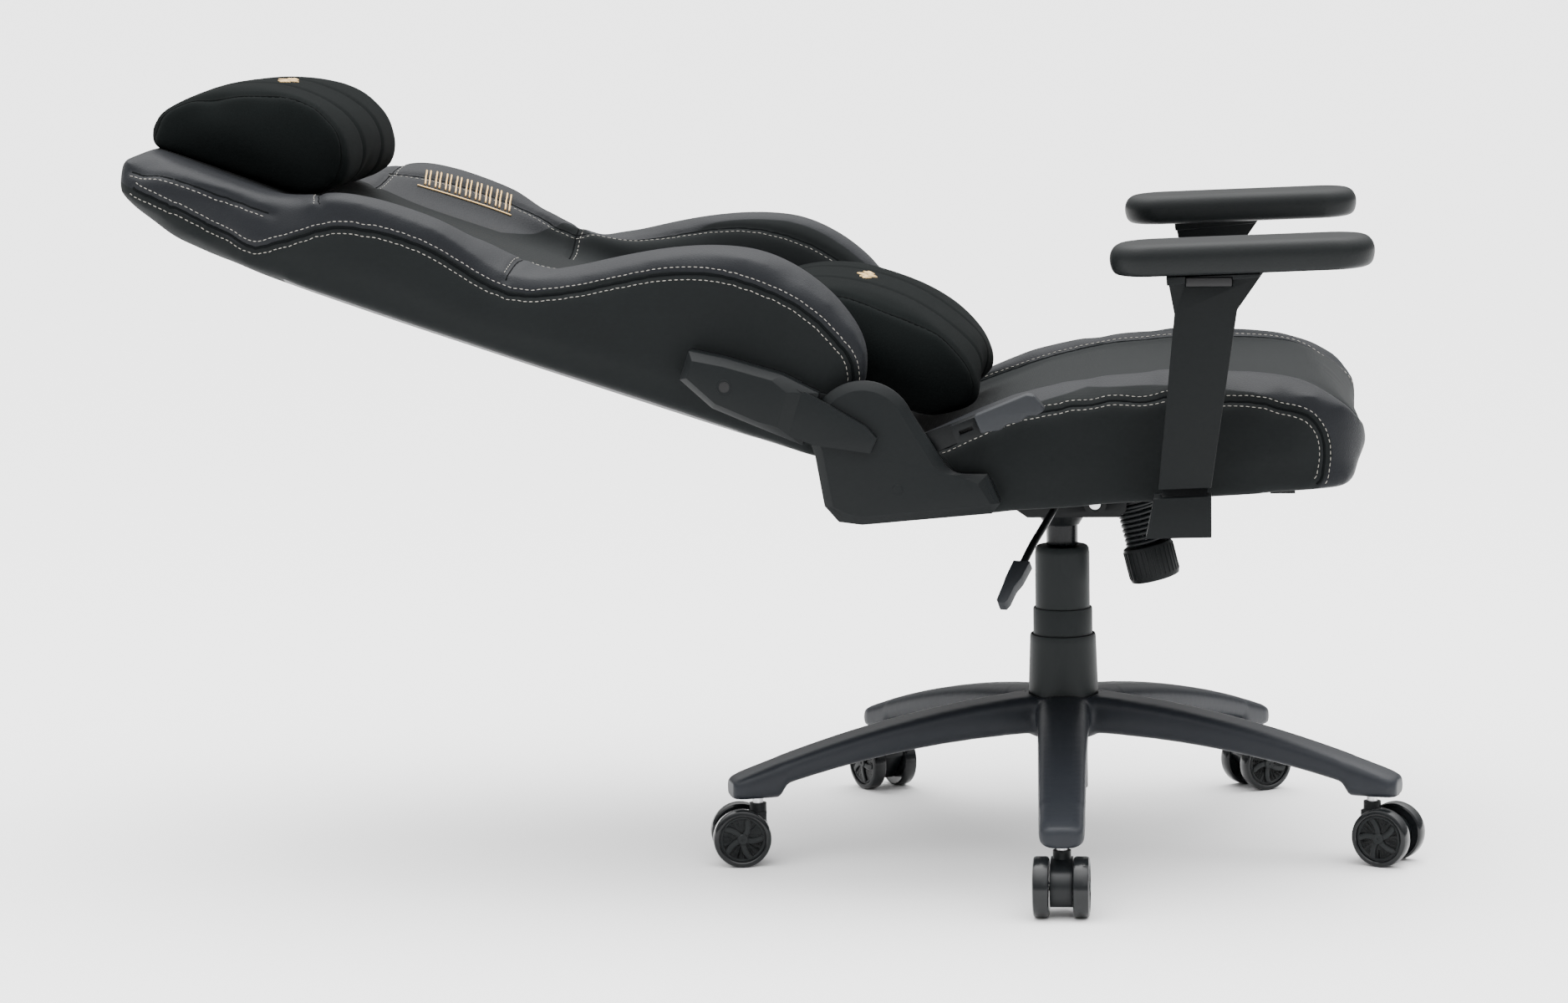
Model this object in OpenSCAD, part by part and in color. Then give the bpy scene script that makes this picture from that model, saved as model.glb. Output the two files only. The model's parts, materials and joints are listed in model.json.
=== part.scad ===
// Reclining gaming chair: five-star base, gas lift, tilt mechanism, seat, arms and back.
// +X is the way the sitter faces, +Y is the sitter's left, the origin is on the floor under the column.

/* [Star base and casters] */
// Distance from the column to each caster stem
stem_reach = 332; // [300:1:380]
// Turn of the star about the column, degrees
star_yaw = 1.7; // [0:0.1:20]
// Height of the flat top of the hub
hub_top = 158; // [150:1:175]
// Depth of the hub
hub_depth = 50; // [44:1:60]
// Radius of the hub
hub_r = 38; // [36:1:46]
// Width of a leg at the hub
leg_root_w = 56; // [46:1:66]
// Width of a leg at its end
leg_end_w = 46; // [40:1:56]
// Depth of a leg near the hub
leg_root_depth = 42; // [36:1:50]
// Height of the underside of a leg end
leg_end_low = 69; // [67:1:72]
// Diameter of a caster wheel
wheel_d = 60; // [54:1:64]
// Width of one caster wheel
wheel_w = 16; // [12:1:20]
// Width of the caster body between its wheels
caster_body_w = 22; // [18:1:28]
// Distance of the axle behind the stem
caster_trail = 18; // [14:1:24]
// Diameter of a caster stem
stem_d = 11; // [10:0.5:12]
// Diameter of a caster axle
axle_d = 8; // [6:0.5:9]

/* [Gas lift] */
// Outer diameter of the fixed column tube
column_d = 50; // [46:1:52]
// Wall of the column tube
column_wall = 2.5; // [2:0.5:3]
// Diameter of the gas cylinder
cylinder_d = 28; // [26:1:30]
// Step out to the collar at the top of the gas cylinder
collar_step = 2.5; // [1.5:0.5:4]
// Diameter of the piston rod
rod_d = 10; // [8:1:12]
// Top of the upper telescopic cover
cover_top = 315; // [305:1:320]
// Wall of the telescopic covers
cover_wall = 2; // [1.5:0.1:2]

/* [Tilt mechanism] */
// Height of the underside of the mechanism housing
housing_low = 350; // [345:1:352]
// Width of the mechanism housing
housing_w = 88; // [80:1:100]
// Distance of the tilt pin in front of the column
tilt_pin_x = 36; // [34:1:40]
// Diameter of the tilt pin
tilt_pin_d = 12; // [10:1:14]
// Tilt of the tension bolt from upright, degrees
bolt_tilt = 13.9; // [10:0.1:16]
// Diameter of the tension knob
knob_d = 51; // [44:1:56]
// Height of the tension knob
knob_h = 35; // [28:1:38]
// Wire diameter of the tension spring
spring_wire = 5; // [4:0.5:5.5]
// Outer diameter of the tension spring
spring_d = 44; // [36:1:46]
// Coils of the tension spring
spring_coils = 9; // [7:1:10]
// Diameter of the height lever
lever_d = 8; // [7:0.5:9]

/* [Seat] */
// Width of the seat cushion
seat_w = 520; // [480:1:560]
// Underside of the mechanism's seat plate
plate_low = 386; // [384:1:390]
// Thickness of the seat plate
plate_t = 3; // [2:0.5:4]
// Spacing of the seat bolts across the seat
bolt_span_y = 150; // [140:1:160]
// Spacing of the seat bolts along the seat
bolt_span_x = 200; // [190:1:210]
// Depth of the seat rails
rail_h = 15; // [12:1:16]
// Width of the seat rails
rail_w = 25; // [22:1:28]

/* [Recliner] */
// Distance of the recline hinge behind the column
hinge_back = 180; // [170:1:190]
// Height of the recline hinge
hinge_z = 470; // [460:1:480]
// Slope of the back above level as drawn, degrees
back_slope = 18.5; // [15:0.5:30]
// Diameter of the hinge pins
hinge_pin_d = 16; // [14:1:18]
// Thickness of the steel recliner plates
steel_t = 4; // [3:0.5:5]

/* [Back] */
// Width of the back across its wings
back_w = 520; // [490:1:550]
// Length of the back above the hinge
back_len = 805; // [780:1:840]
// Width of the head section
head_w = 480; // [420:1:500]
// Tube diameter of the back frame
frame_d = 22; // [18:1:25]

/* [Arms] */
// Distance of an arm post outside the side of the seat
arm_out = 70; // [62:1:80]
// Lean of the arm posts, degrees
arm_lean = 6.9; // [5:0.1:9]
// Width of the steel arm post
post_w = 43; // [38:1:45]
// Thickness of the steel arm post
post_t = 16; // [14:1:18]
// Thickness of the arm sleeve
sleeve_t = 30; // [26:1:34]
// Length of an arm pad
pad_len = 254; // [230:1:280]
// Width of an arm pad
pad_w = 92; // [84:1:100]
// Thickness of an arm pad
pad_h = 32; // [26:1:36]

/* [Hidden] */
$fn = 64;
run_gap = 0.05;
seat_gap = 0.02;
tiny = 0.01;
bend_swell = 0.25;
far = 400;
legs = 5;
leg_angles = [for (k = [0 : legs - 1]) star_yaw - 90 + k * 360 / legs];
// Heading of each caster's trail as drawn, degrees from +X
trail_headings = [-90, -25, 32, 125, 190];

wheel_r = wheel_d / 2;
wheel_gap = 0.8;
wheel_in = caster_body_w / 2 + wheel_gap;
caster_top = leg_end_low - 6;
stem_low = 40;
stem_top = leg_end_low + 20;

hub_low = hub_top - hub_depth;
leg_root_x = 39;
leg_end_x = stem_reach + 34;
leg_root_top = hub_top + 3;
leg_drop_rate = 0.08;
leg_top_curve = 1035;
leg_low_rate = 0.02;
leg_low_curve = 990;

tube_low = 58;
tube_top = 228;
tube_floor = 3;
bush_low = 150;
bush_flange = 4;
rod_low = 50;
clip_low = 54;
clip_h = 2;
rod_collar_d = 14;
bearing_h = 6;
piston_low = 255;
piston_h = 16;
cylinder_low = 140;
cylinder_wall = 3;
cylinder_floor = 12;
cylinder_top = 362;
collar_low = cover_top + 1;
pin_d = 8;
pin_top = cylinder_top + 6;
upper_cover_r = column_d / 2 + 3.5;
middle_cover_r = upper_cover_r + 2.5;
lower_cover_r = middle_cover_r + 3.5;
lower_cover_flare = 2;
upper_cover_low = 220;
middle_cover_low = 190;
middle_cover_top = 250;
lower_cover_top = 222;

tilt_pin_z = 365;
tilt_pin_len = 106;
housing_wall = 4;
collar_d = cylinder_d + 2 * collar_step;
socket_r = collar_d / 2 + 7.5;
socket_low = 337;
lever_z = pin_top + lever_d / 2 + 0.3;
lever_bush_y = -housing_w / 2 + 6;
lever_bush_r = 6;
lever_bush_len = 10;
// Centre of the knob's top face, on the tension bolt's axis
knob_top_x = 88.3;
knob_top_z = 316.6;
spring_len = 46;
spring_seat_t = 6;
bolt_d = 10;

plate_top = plate_low + plate_t;
plate_x = [-95, 135];
plate_w = bolt_span_y + 30;
bolt_rear_x = -80;
seat_bolt_d = 8;
rail_y = bolt_span_y / 2;
rear_tube_x = -215;
middle_tube_x = 115;
front_tube_x = 215;
tube_half = 230;
front_tube_half = 150;
pocket_half = 232;
pocket_top = plate_top + rail_h + 1;
channel_half = 186;

plate_y = max(seat_w, back_w) / 2 + 2;
arm_plate_y = plate_y + steel_t + 1;
arm_y = seat_w / 2 + arm_out;
cover_face_y = plate_y + 22;
cover_skin = 3;
tip_y = cover_face_y + 1;
tip_t = 6;
sweep_zone = 12;
hinge_x = -hinge_back;
lever_pivot_x = -125;
lever_pivot_z = 455;
lever_pivot_r = 5;

back_panel_front = 12;
wing_in = 182;
frame_t = -22;
frame_y = 225;
head_frame_y = 120;
lug_s = [90, 146];
lug_r = 12;
bolt_hole_r = 4.5;

arm_base_x = 127.5;
arm_base_z = 383;
post_top = 205;
bore_top = 228;
bracket_t = 6;
bracket_in = 95;
pad_x = 187;
pad_z = 645;
pad_tilt = 1.7;
button_x = [133, 178];
button_z = [616.5, 626.5];
button_depth = 14;
button_gap = 0.6;

// ---- shared shapes ----

function arc(cx, cy, r, from, to, steps) =
    [for (i = [0 : steps]) let (a = from + (to - from) * i / steps) [cx + r * cos(a), cy + r * sin(a)]];

// An outline in X and Z, given thickness along Y between near and far
module side_slab(near, far, outline) {
    translate([0, far, 0])
        rotate([90, 0, 0])
            linear_extrude(height = far - near)
                polygon(outline);
}

// A cylinder along Y
module cross_pin(x, z, r, near, far) {
    translate([x, far, z])
        rotate([90, 0, 0])
            cylinder(h = far - near, r = r);
}

module ring(z, h, outer_r, inner_r) {
    translate([0, 0, z])
        difference() {
            cylinder(h = h, r = outer_r);
            translate([0, 0, -1])
                cylinder(h = h + 2, r = inner_r);
        }
}

// A round bar between two points
module bar(a, b, r) {
    run = b - a;
    flat = norm([run[0], run[1]]);
    translate(a)
        rotate([0, atan2(flat, run[2]), atan2(run[1], run[0])])
            cylinder(h = norm(run), r = r);
}

// A round bar bent through a list of points, with a slightly larger ball at each bend
module bent_bar(points, r) {
    for (i = [0 : len(points) - 2])
        bar(points[i], points[i + 1], r);
    if (len(points) > 2)
        for (i = [1 : len(points) - 2])
            translate(points[i])
                sphere(r = r + bend_swell);
}

module both_sides() {
    children();
    mirror([0, 1, 0])
        children();
}

// The back's own frame: x runs up the back from the hinge, z out of its front
module on_back() {
    translate([hinge_x, 0, hinge_z])
        rotate([0, back_slope, 0])
            rotate([0, 0, 180])
                children();
}

// The tension bolt's frame: z runs up the bolt from the top of the knob
module on_bolt() {
    translate([knob_top_x, 0, knob_top_z])
        rotate([0, -bolt_tilt, 0])
            children();
}

// An arm post's frame: z runs up the post from the bracket
module on_arm() {
    translate([arm_base_x, -arm_y, arm_base_z])
        rotate([0, arm_lean, 0])
            children();
}

module on_pad() {
    translate([pad_x, 10 - arm_y, pad_z])
        rotate([0, -pad_tilt, 0])
            children();
}

// ---- star base ----

function leg_top_at(x) =
    let (d = x - leg_root_x) leg_root_top - leg_drop_rate * d - d * d / (2 * leg_top_curve);
function leg_low_at(x) =
    let (d = max(0, x - leg_root_x - 18),
         low = leg_root_top - leg_root_depth - leg_low_rate * (x - leg_root_x))
    max(leg_end_low, low - d * d / (2 * leg_low_curve));

module leg_profile() {
    xs = [for (x = [leg_root_x : 20 : stem_reach - 28]) x];
    polygon(concat(
        [[0, leg_root_top]],
        [for (x = xs) [x, leg_top_at(x)]],
        [[stem_reach, leg_top_at(stem_reach)], [leg_end_x - 8, leg_top_at(leg_end_x - 8)]],
        [[leg_end_x, leg_end_low + 8], [leg_end_x - 3, leg_end_low]],
        [[stem_reach - 20, leg_end_low]],
        [for (i = [len(xs) - 1 : -1 : 1]) [xs[i], leg_low_at(xs[i])]],
        [[0, leg_low_at(0)]]));
}

module leg_plan() {
    end_r = leg_end_w / 2 - 4;
    polygon(concat(
        [[0, -leg_root_w / 2], [leg_root_x + 12, -leg_root_w / 2 + 1]],
        arc(leg_end_x - end_r, -4, end_r, -90, 0, 10),
        arc(leg_end_x - end_r, 4, end_r, 0, 90, 10),
        [[leg_root_x + 12, leg_root_w / 2 - 1], [0, leg_root_w / 2]]));
}

module leg() {
    intersection() {
        translate([0, leg_root_w / 2, 0])
            rotate([90, 0, 0])
                linear_extrude(height = leg_root_w)
                    leg_profile();
        linear_extrude(height = hub_top + 20)
            leg_plan();
    }
}

module star_base() color([0.16, 0.17, 0.19]) {
    difference() {
        union() {
            translate([0, 0, hub_low])
                cylinder(h = hub_depth, r = hub_r);
            for (a = leg_angles)
                rotate([0, 0, a])
                    leg();
        }
        translate([0, 0, hub_top])
            cylinder(h = 20, r = hub_r + 2.5);
        translate([0, 0, hub_low - 1])
            cylinder(h = hub_depth + 20, r = column_d / 2 + seat_gap);
        for (a = leg_angles)
            rotate([0, 0, a])
                translate([stem_reach, 0, leg_end_low - 1])
                    cylinder(h = stem_top - leg_end_low + 2, r = stem_d / 2 + run_gap);
    }
}

// ---- casters ----

module at_caster(k) {
    rotate([0, 0, leg_angles[k]])
        translate([stem_reach, 0, 0])
            rotate([0, 0, trail_headings[k] - leg_angles[k]])
                children();
}

module caster_body(k) color([0.10, 0.10, 0.11]) at_caster(k) {
    boss_r = 9;
    difference() {
        union() {
            side_slab(-caster_body_w / 2, caster_body_w / 2, concat(
                arc(caster_trail, wheel_r, 20, -100, 75, 18),
                [[boss_r - 1, caster_top - 8], [-boss_r + 1, caster_top - 8], [-boss_r + 1, wheel_r + 8]]));
            translate([0, 0, caster_top - 12])
                cylinder(h = 12, r = boss_r);
        }
        cross_pin(caster_trail, wheel_r, axle_d / 2 + seat_gap, -caster_body_w, caster_body_w);
        translate([0, 0, stem_low])
            cylinder(h = caster_top, r = stem_d / 2 + seat_gap);
    }
}

module caster_pins(k) color([0.75, 0.75, 0.76]) at_caster(k) {
    translate([0, 0, stem_low])
        cylinder(h = stem_top - stem_low, r = stem_d / 2);
    cross_pin(caster_trail, wheel_r, axle_d / 2, 3 - wheel_in - wheel_w, wheel_in + wheel_w - 3);
}

// One wheel standing on its hub, outer face up, with five pockets in the face
module wheel() {
    bevel = 2.5;
    rim_in = wheel_r - 6;
    dish = 3;
    difference() {
        rotate_extrude()
            polygon([[0, 0], [wheel_r - bevel, 0], [wheel_r, bevel], [wheel_r, wheel_w - bevel],
                     [wheel_r - bevel, wheel_w], [rim_in, wheel_w], [rim_in - 1, wheel_w - dish],
                     [9, wheel_w - dish], [8, wheel_w - 1], [0, wheel_w - 1]]);
        translate([0, 0, -1])
            cylinder(h = wheel_w + 2 - 4, r = axle_d / 2 + run_gap);
        for (a = [0 : 72 : 288])
            rotate([0, 0, a])
                translate([15.5, 0, wheel_w - dish - 3])
                    cylinder(h = 10, r = 4.5);
    }
}

module caster_wheels(k) color([0.05, 0.05, 0.055]) at_caster(k) {
    translate([caster_trail, 0, wheel_r])
        both_sides()
            translate([0, wheel_in, 0])
                rotate([-90, 0, 0])
                    wheel();
}

// ---- gas lift ----

module column_tube() color([0.07, 0.07, 0.08]) {
    difference() {
        translate([0, 0, tube_low])
            cylinder(h = tube_top - tube_low, r = column_d / 2);
        translate([0, 0, tube_low + tube_floor])
            cylinder(h = tube_top, r = column_d / 2 - column_wall);
        translate([0, 0, tube_low - 1])
            cylinder(h = tube_floor + 2, r = rod_d / 2 + run_gap);
    }
}

module column_bush() color([0.85, 0.85, 0.82]) {
    ring(bush_low, tube_top - bush_low, column_d / 2 - column_wall - seat_gap, cylinder_d / 2 + run_gap);
    ring(tube_top, bush_flange, column_d / 2 + 1, cylinder_d / 2 + run_gap);
}

module thrust_bearing() color([0.7, 0.7, 0.72]) {
    ring(tube_low + tube_floor, bearing_h, rod_d + 2, rod_d / 2 + run_gap);
}

module rod_clip() color([0.6, 0.6, 0.62]) {
    difference() {
        ring(clip_low, clip_h, rod_d, rod_d / 2 - 0.7);
        translate([0, -2, clip_low - 1])
            cube([rod_d * 2, 4, clip_h + 2]);
    }
}

module piston_rod() color([0.8, 0.8, 0.82]) {
    difference() {
        union() {
            translate([0, 0, rod_low])
                cylinder(h = piston_low + piston_h - rod_low, r = rod_d / 2);
            translate([0, 0, tube_low + tube_floor + bearing_h + run_gap])
                cylinder(h = 4, r = rod_collar_d / 2);
            translate([0, 0, piston_low])
                cylinder(h = piston_h, r = cylinder_d / 2 - cylinder_wall - run_gap);
        }
        ring(clip_low - run_gap, clip_h + 2 * run_gap, rod_d, rod_d / 2 - 0.7 - run_gap);
    }
}

module gas_cylinder() color([0.05, 0.05, 0.06]) {
    difference() {
        union() {
            translate([0, 0, cylinder_low])
                cylinder(h = cylinder_top - cylinder_low, r = cylinder_d / 2);
            translate([0, 0, collar_low])
                cylinder(h = cylinder_top - collar_low, r = collar_d / 2);
        }
        translate([0, 0, cylinder_low + cylinder_floor])
            cylinder(h = cylinder_top - cylinder_low - 2 * cylinder_floor,
                     r = cylinder_d / 2 - cylinder_wall);
        translate([0, 0, cylinder_low - 1])
            cylinder(h = cylinder_floor + 2, r = rod_d / 2 + run_gap);
        translate([0, 0, cylinder_top - cylinder_floor - 1])
            cylinder(h = cylinder_floor + 2, r = pin_d / 2 + run_gap);
    }
}

module release_pin() color([0.8, 0.8, 0.82]) {
    translate([0, 0, cylinder_top - cylinder_floor + 5])
        cylinder(h = pin_top - cylinder_top + cylinder_floor - 5, r = pin_d / 2);
}

// ---- telescopic covers ----

module lower_cover() color([0.14, 0.15, 0.17]) {
    rotate_extrude()
        polygon([[lower_cover_r + lower_cover_flare - cover_wall, hub_top],
                 [lower_cover_r + lower_cover_flare, hub_top],
                 [lower_cover_r, lower_cover_top],
                 [lower_cover_r - cover_wall, lower_cover_top]]);
}

module middle_cover() color([0.14, 0.15, 0.17]) {
    ring(middle_cover_low, middle_cover_top - middle_cover_low, middle_cover_r, middle_cover_r - cover_wall);
}

module upper_cover() color([0.14, 0.15, 0.17]) {
    ring(upper_cover_low, cover_top - upper_cover_low, upper_cover_r, upper_cover_r - cover_wall);
    ring(cover_top - 2, 2, upper_cover_r - cover_wall, cylinder_d / 2 + seat_gap);
}

// ---- tilt mechanism ----

module spring_seat_disc(r, h) {
    on_bolt()
        translate([0, 0, spring_len + 0.3])
            cylinder(h = h, r = r);
}

module mechanism_housing() color([0.09, 0.10, 0.11]) {
    half = housing_w / 2;
    difference() {
        union() {
            difference() {
                side_slab(-half, half, [[-50, 361], [-34, housing_low], [60, housing_low], [68, 357],
                                        [68, 376], [24, 376], [10, 370], [-50, 366]]);
                side_slab(housing_wall - half, half - housing_wall,
                          [[-44, 362], [-32, housing_low + 3], [56, housing_low + 3], [62, 358],
                           [62, 390], [-44, 390]]);
            }
            translate([0, 0, housing_low])
                cylinder(h = cylinder_top - housing_low, r = socket_r);
            translate([0, 0, socket_low])
                cylinder(h = housing_low - socket_low, r1 = 18, r2 = socket_r + 2);
            for (y = [12 - half, half])
                cross_pin(tilt_pin_x, tilt_pin_z, 11, y - 12, y);
            intersection() {
                spring_seat_disc(spring_d / 2 + 3, spring_seat_t);
                translate([0, -far / 2, 0])
                    cube([far, far, far]);
            }
        }
        translate([0, 0, socket_low - 1])
            cylinder(h = cylinder_top, r = collar_d / 2 + seat_gap);
        cross_pin(tilt_pin_x, tilt_pin_z, tilt_pin_d / 2 + seat_gap, -far, far);
        spring_seat_disc(9.5, 40);
        on_bolt()
            cylinder(h = spring_len + 0.3, r = spring_d / 2 + 1);
        translate([-lever_bush_len / 2 - 0.3, lever_bush_y, lever_z])
            rotate([0, 90, 0])
                cylinder(h = lever_bush_len + 0.6, r = lever_bush_r + 0.3);
        translate([-lever_bush_len / 2 - 0.3, lever_bush_y - lever_bush_r - 20, lever_z - 6])
            cube([lever_bush_len + 0.6, 40, 40]);
    }
}

module tilt_pin() color([0.7, 0.7, 0.72]) {
    cross_pin(tilt_pin_x, tilt_pin_z, tilt_pin_d / 2, -tilt_pin_len / 2, tilt_pin_len / 2);
}

module lever_bush() color([0.8, 0.8, 0.78]) {
    difference() {
        translate([-lever_bush_len / 2, lever_bush_y, lever_z])
            rotate([0, 90, 0])
                cylinder(h = lever_bush_len, r = lever_bush_r);
        cross_pin(0, lever_z, lever_d / 2 + run_gap, -far, far);
    }
}

lever_points = [[0, 8, lever_z], [0, -56, lever_z], [-12, -150, 357], [-22, -194, 345], [-34, -224, 322]];

module height_lever() color([0.08, 0.08, 0.09]) {
    bent_bar(lever_points, lever_d / 2);
}

// The paddle grip pushed over the end of the lever
module height_lever_grip() color([0.15, 0.16, 0.18]) {
    run = lever_points[4] - lever_points[3];
    translate(lever_points[4])
        rotate([0, atan2(norm([run[0], run[1]]), run[2]), atan2(run[1], run[0])])
            difference() {
                translate([-5, 0, 0])
                    rotate([90, 0, 90])
                        linear_extrude(height = 10)
                            polygon([[-9, -10], [9, -10], [8, 14], [5, 26], [5, 44], [3, 50], [-4, 50],
                                     [-7, 46], [-8, 24], [-9, 14]]);
                translate([0, 0, -20])
                    cylinder(h = 20, r = lever_d / 2 + seat_gap);
            }
}

module seat_plate() color([0.12, 0.12, 0.13]) {
    cheek_in = housing_w / 2 + 1;
    difference() {
        union() {
            translate([plate_x[0], -plate_w / 2, plate_low])
                cube([plate_x[1] - plate_x[0], plate_w, plate_t]);
            both_sides()
                side_slab(-cheek_in - 3, -cheek_in, concat(
                    [[tilt_pin_x + 22, plate_low + 1], [tilt_pin_x - 22, plate_low + 1]],
                    arc(tilt_pin_x, tilt_pin_z, 12, 170, 370, 16)));
        }
        cross_pin(tilt_pin_x, tilt_pin_z, tilt_pin_d / 2 + run_gap, -far, far);
        seat_bolt_places()
            translate([0, 0, plate_low - 1])
                cylinder(h = plate_t + 2, r = seat_bolt_d / 2 + seat_gap);
    }
}

module seat_bolt_places() {
    for (x = [bolt_rear_x, bolt_rear_x + bolt_span_x], y = [-bolt_span_y / 2, bolt_span_y / 2])
        translate([x, y, 0])
            children();
}

module seat_bolts() color([0.5, 0.5, 0.52]) {
    seat_bolt_places() {
        translate([0, 0, plate_low - 5])
            cylinder(h = 5, r = 7, $fn = 6);
        translate([0, 0, plate_low - tiny])
            cylinder(h = plate_t + rail_h - 2, r = seat_bolt_d / 2);
    }
}

module tension_bolt() color([0.6, 0.6, 0.62]) {
    intersection() {
        on_bolt()
            translate([0, 0, 8 - knob_h])
                cylinder(h = far, r = bolt_d / 2);
        translate([-far, -far, 0])
            cube([2 * far, 2 * far, plate_low]);
    }
}

// Round wire swept along a helix
function spring_point(turn) =
    let (r = (spring_d - spring_wire) / 2, a = 360 * turn)
    [r * cos(a), r * sin(a), spring_wire / 2 + 0.3 + (spring_len - spring_wire - 0.6) * turn / spring_coils];

module tension_spring() color([0.06, 0.06, 0.07]) {
    sides = 8;
    steps = 18 * spring_coils;
    rings = [for (i = [0 : steps]) let (turn = i / 18, a = 360 * turn, p = spring_point(turn))
        [for (j = [0 : sides - 1]) let (b = 360 * j / sides)
            p + spring_wire / 2 * [cos(b) * cos(a), cos(b) * sin(a), sin(b)]]];
    points = [for (one = rings, p = one) p];
    walls = [for (i = [0 : steps - 1], j = [0 : sides - 1]) let (k = (j + 1) % sides)
        [i * sides + j, (i + 1) * sides + j, (i + 1) * sides + k, i * sides + k]];
    on_bolt()
        polyhedron(points = points,
                   faces = concat(walls, [[for (j = [0 : sides - 1]) j]],
                                  [[for (j = [sides - 1 : -1 : 0]) steps * sides + j]]));
}

module tension_knob() color([0.13, 0.14, 0.15]) on_bolt() {
    difference() {
        translate([0, 0, -knob_h])
            cylinder(h = knob_h, r = knob_d / 2);
        translate([0, 0, 8 - knob_h])
            cylinder(h = knob_h, r = bolt_d / 2 + run_gap);
        for (a = [0 : 15 : 345])
            rotate([0, 0, a])
                translate([knob_d / 2 + 0.6, 0, -knob_h - 1])
                    cylinder(h = knob_h - 4, r = 1.6);
    }
}

// ---- seat ----

module seat_frame() color([0.2, 0.2, 0.21]) {
    difference() {
        union() {
            for (y = [-rail_y, rail_y])
                translate([rear_tube_x, y - rail_w / 2, plate_top])
                    cube([front_tube_x - rear_tube_x + rail_w, rail_w, rail_h]);
            translate([rear_tube_x, -plate_y, plate_top])
                cube([rail_w, 2 * plate_y, rail_h]);
            translate([middle_tube_x, -tube_half, plate_top])
                cube([rail_w, 2 * tube_half, rail_h]);
            translate([front_tube_x, -front_tube_half, plate_top])
                cube([rail_w, 2 * front_tube_half, rail_h]);
        }
        seat_bolt_places()
            translate([0, 0, plate_top - 1])
                cylinder(h = rail_h, r = seat_bolt_d / 2 + seat_gap);
    }
}

seat_outline = [[-225, 381], [-52, 384], [290, 408], [308, 420], [320, 446], [318, 470], [300, 490],
                [262, 505], [200, 514], [111, 517], [20, 508], [-40, 494], [-78, 478], [-135, 452],
                [-170, 438], [-225, 424]];
seat_channel = [[-230, 420], [-170, 432], [-135, 440], [-105, 448], [-72, 462], [-20, 484], [40, 498],
                [111, 505], [200, 506], [262, 502], [300, 530], [-230, 530]];

module seat_plan() {
    r = 70;
    half = seat_w / 2;
    polygon(concat(
        [[-226, -half + 20], [-180, -half]],
        arc(322 - r, r - half, r, -90, 0, 12),
        arc(322 - r, half - r, r, 0, 90, 12),
        [[-180, half], [-226, half - 20]]));
}

module seat_cushion() color([0.20, 0.21, 0.24]) {
    difference() {
        intersection() {
            side_slab(-seat_w / 2, seat_w / 2, seat_outline);
            linear_extrude(height = 600)
                seat_plan();
        }
        side_slab(-channel_half, channel_half, seat_channel);
        translate([rear_tube_x - 3, -pocket_half, 0])
            cube([front_tube_x - rear_tube_x + rail_w + 6, 2 * pocket_half, pocket_top]);
        translate([rear_tube_x - 12, -far, 0])
            cube([rail_w + 15, 2 * far, pocket_top]);
    }
}

// ---- recliner ----

module recliner_plates() color([0.35, 0.35, 0.37]) {
    both_sides()
        difference() {
            side_slab(-plate_y - steel_t, -plate_y, concat(
                arc(hinge_x, hinge_z, 34, 0, 180, 20),
                [[-214, 401], [-203, 389], [-76, 395], [-84, 414], [-110, 446], [-114, 464]]));
            cross_pin(hinge_x, hinge_z, hinge_pin_d / 2 + seat_gap, -far, far);
            cross_pin(lever_pivot_x, lever_pivot_z, lever_pivot_r + run_gap, -far, far);
        }
}

module hinge_pins() color([0.75, 0.75, 0.77]) {
    both_sides() {
        cross_pin(hinge_x, hinge_z, hinge_pin_d / 2, -arm_plate_y - steel_t - 1, -plate_y);
        cross_pin(hinge_x, hinge_z, hinge_pin_d / 2 + 4,
                  -arm_plate_y - steel_t - 5, -arm_plate_y - steel_t - 1 + tiny);
    }
}

function side_cover_outline(inset) = concat(
    arc(hinge_x - 4, hinge_z - 2, 52 - inset, 25, 203, 24),
    [[-223 + inset, 396], [-209 + inset, 380 + inset], [-186, 377 + inset], [-58 - inset, 388 + inset],
     [-50 - inset, 398], [-62 - inset, 427 - inset]],
    arc(-84 - inset, 452 + inset / 2, 25 + inset / 2, -88, -138, 5));

module side_cover() {
    both = arm_plate_y + sweep_zone;
    difference() {
        union() {
            side_slab(-cover_face_y + 6, -plate_y, side_cover_outline(0));
            side_slab(-cover_face_y, 5 - cover_face_y, side_cover_outline(9));
            side_slab(-cover_face_y + 3, 6 - cover_face_y, side_cover_outline(4));
        }
        side_slab(cover_skin - cover_face_y, 1 - plate_y, side_cover_outline(12));
        side_slab(3 * cover_skin - cover_face_y, 1 - plate_y, side_cover_outline(cover_skin));
        cross_pin(lever_pivot_x, lever_pivot_z, 14, -both + 6, 1 - plate_y);
        side_slab(-both + 6, 1 - plate_y, concat(
            [[-150, 420], [-50, 420], [-40, 520]],
            arc(hinge_x - 4, hinge_z - 2, 70, 48, 190, 20),
            arc(hinge_x - 4, hinge_z - 2, 30, 190, 270, 6)));
        translate([rear_tube_x - 15, -plate_y - steel_t - 0.5, plate_top - 3])
            cube([rail_w + 20, 20, rail_h + 6]);
    }
}

module side_cover_right() color([0.15, 0.16, 0.18]) {
    side_cover();
}

module side_cover_left() color([0.15, 0.16, 0.18]) {
    mirror([0, 1, 0])
        side_cover();
}

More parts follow.
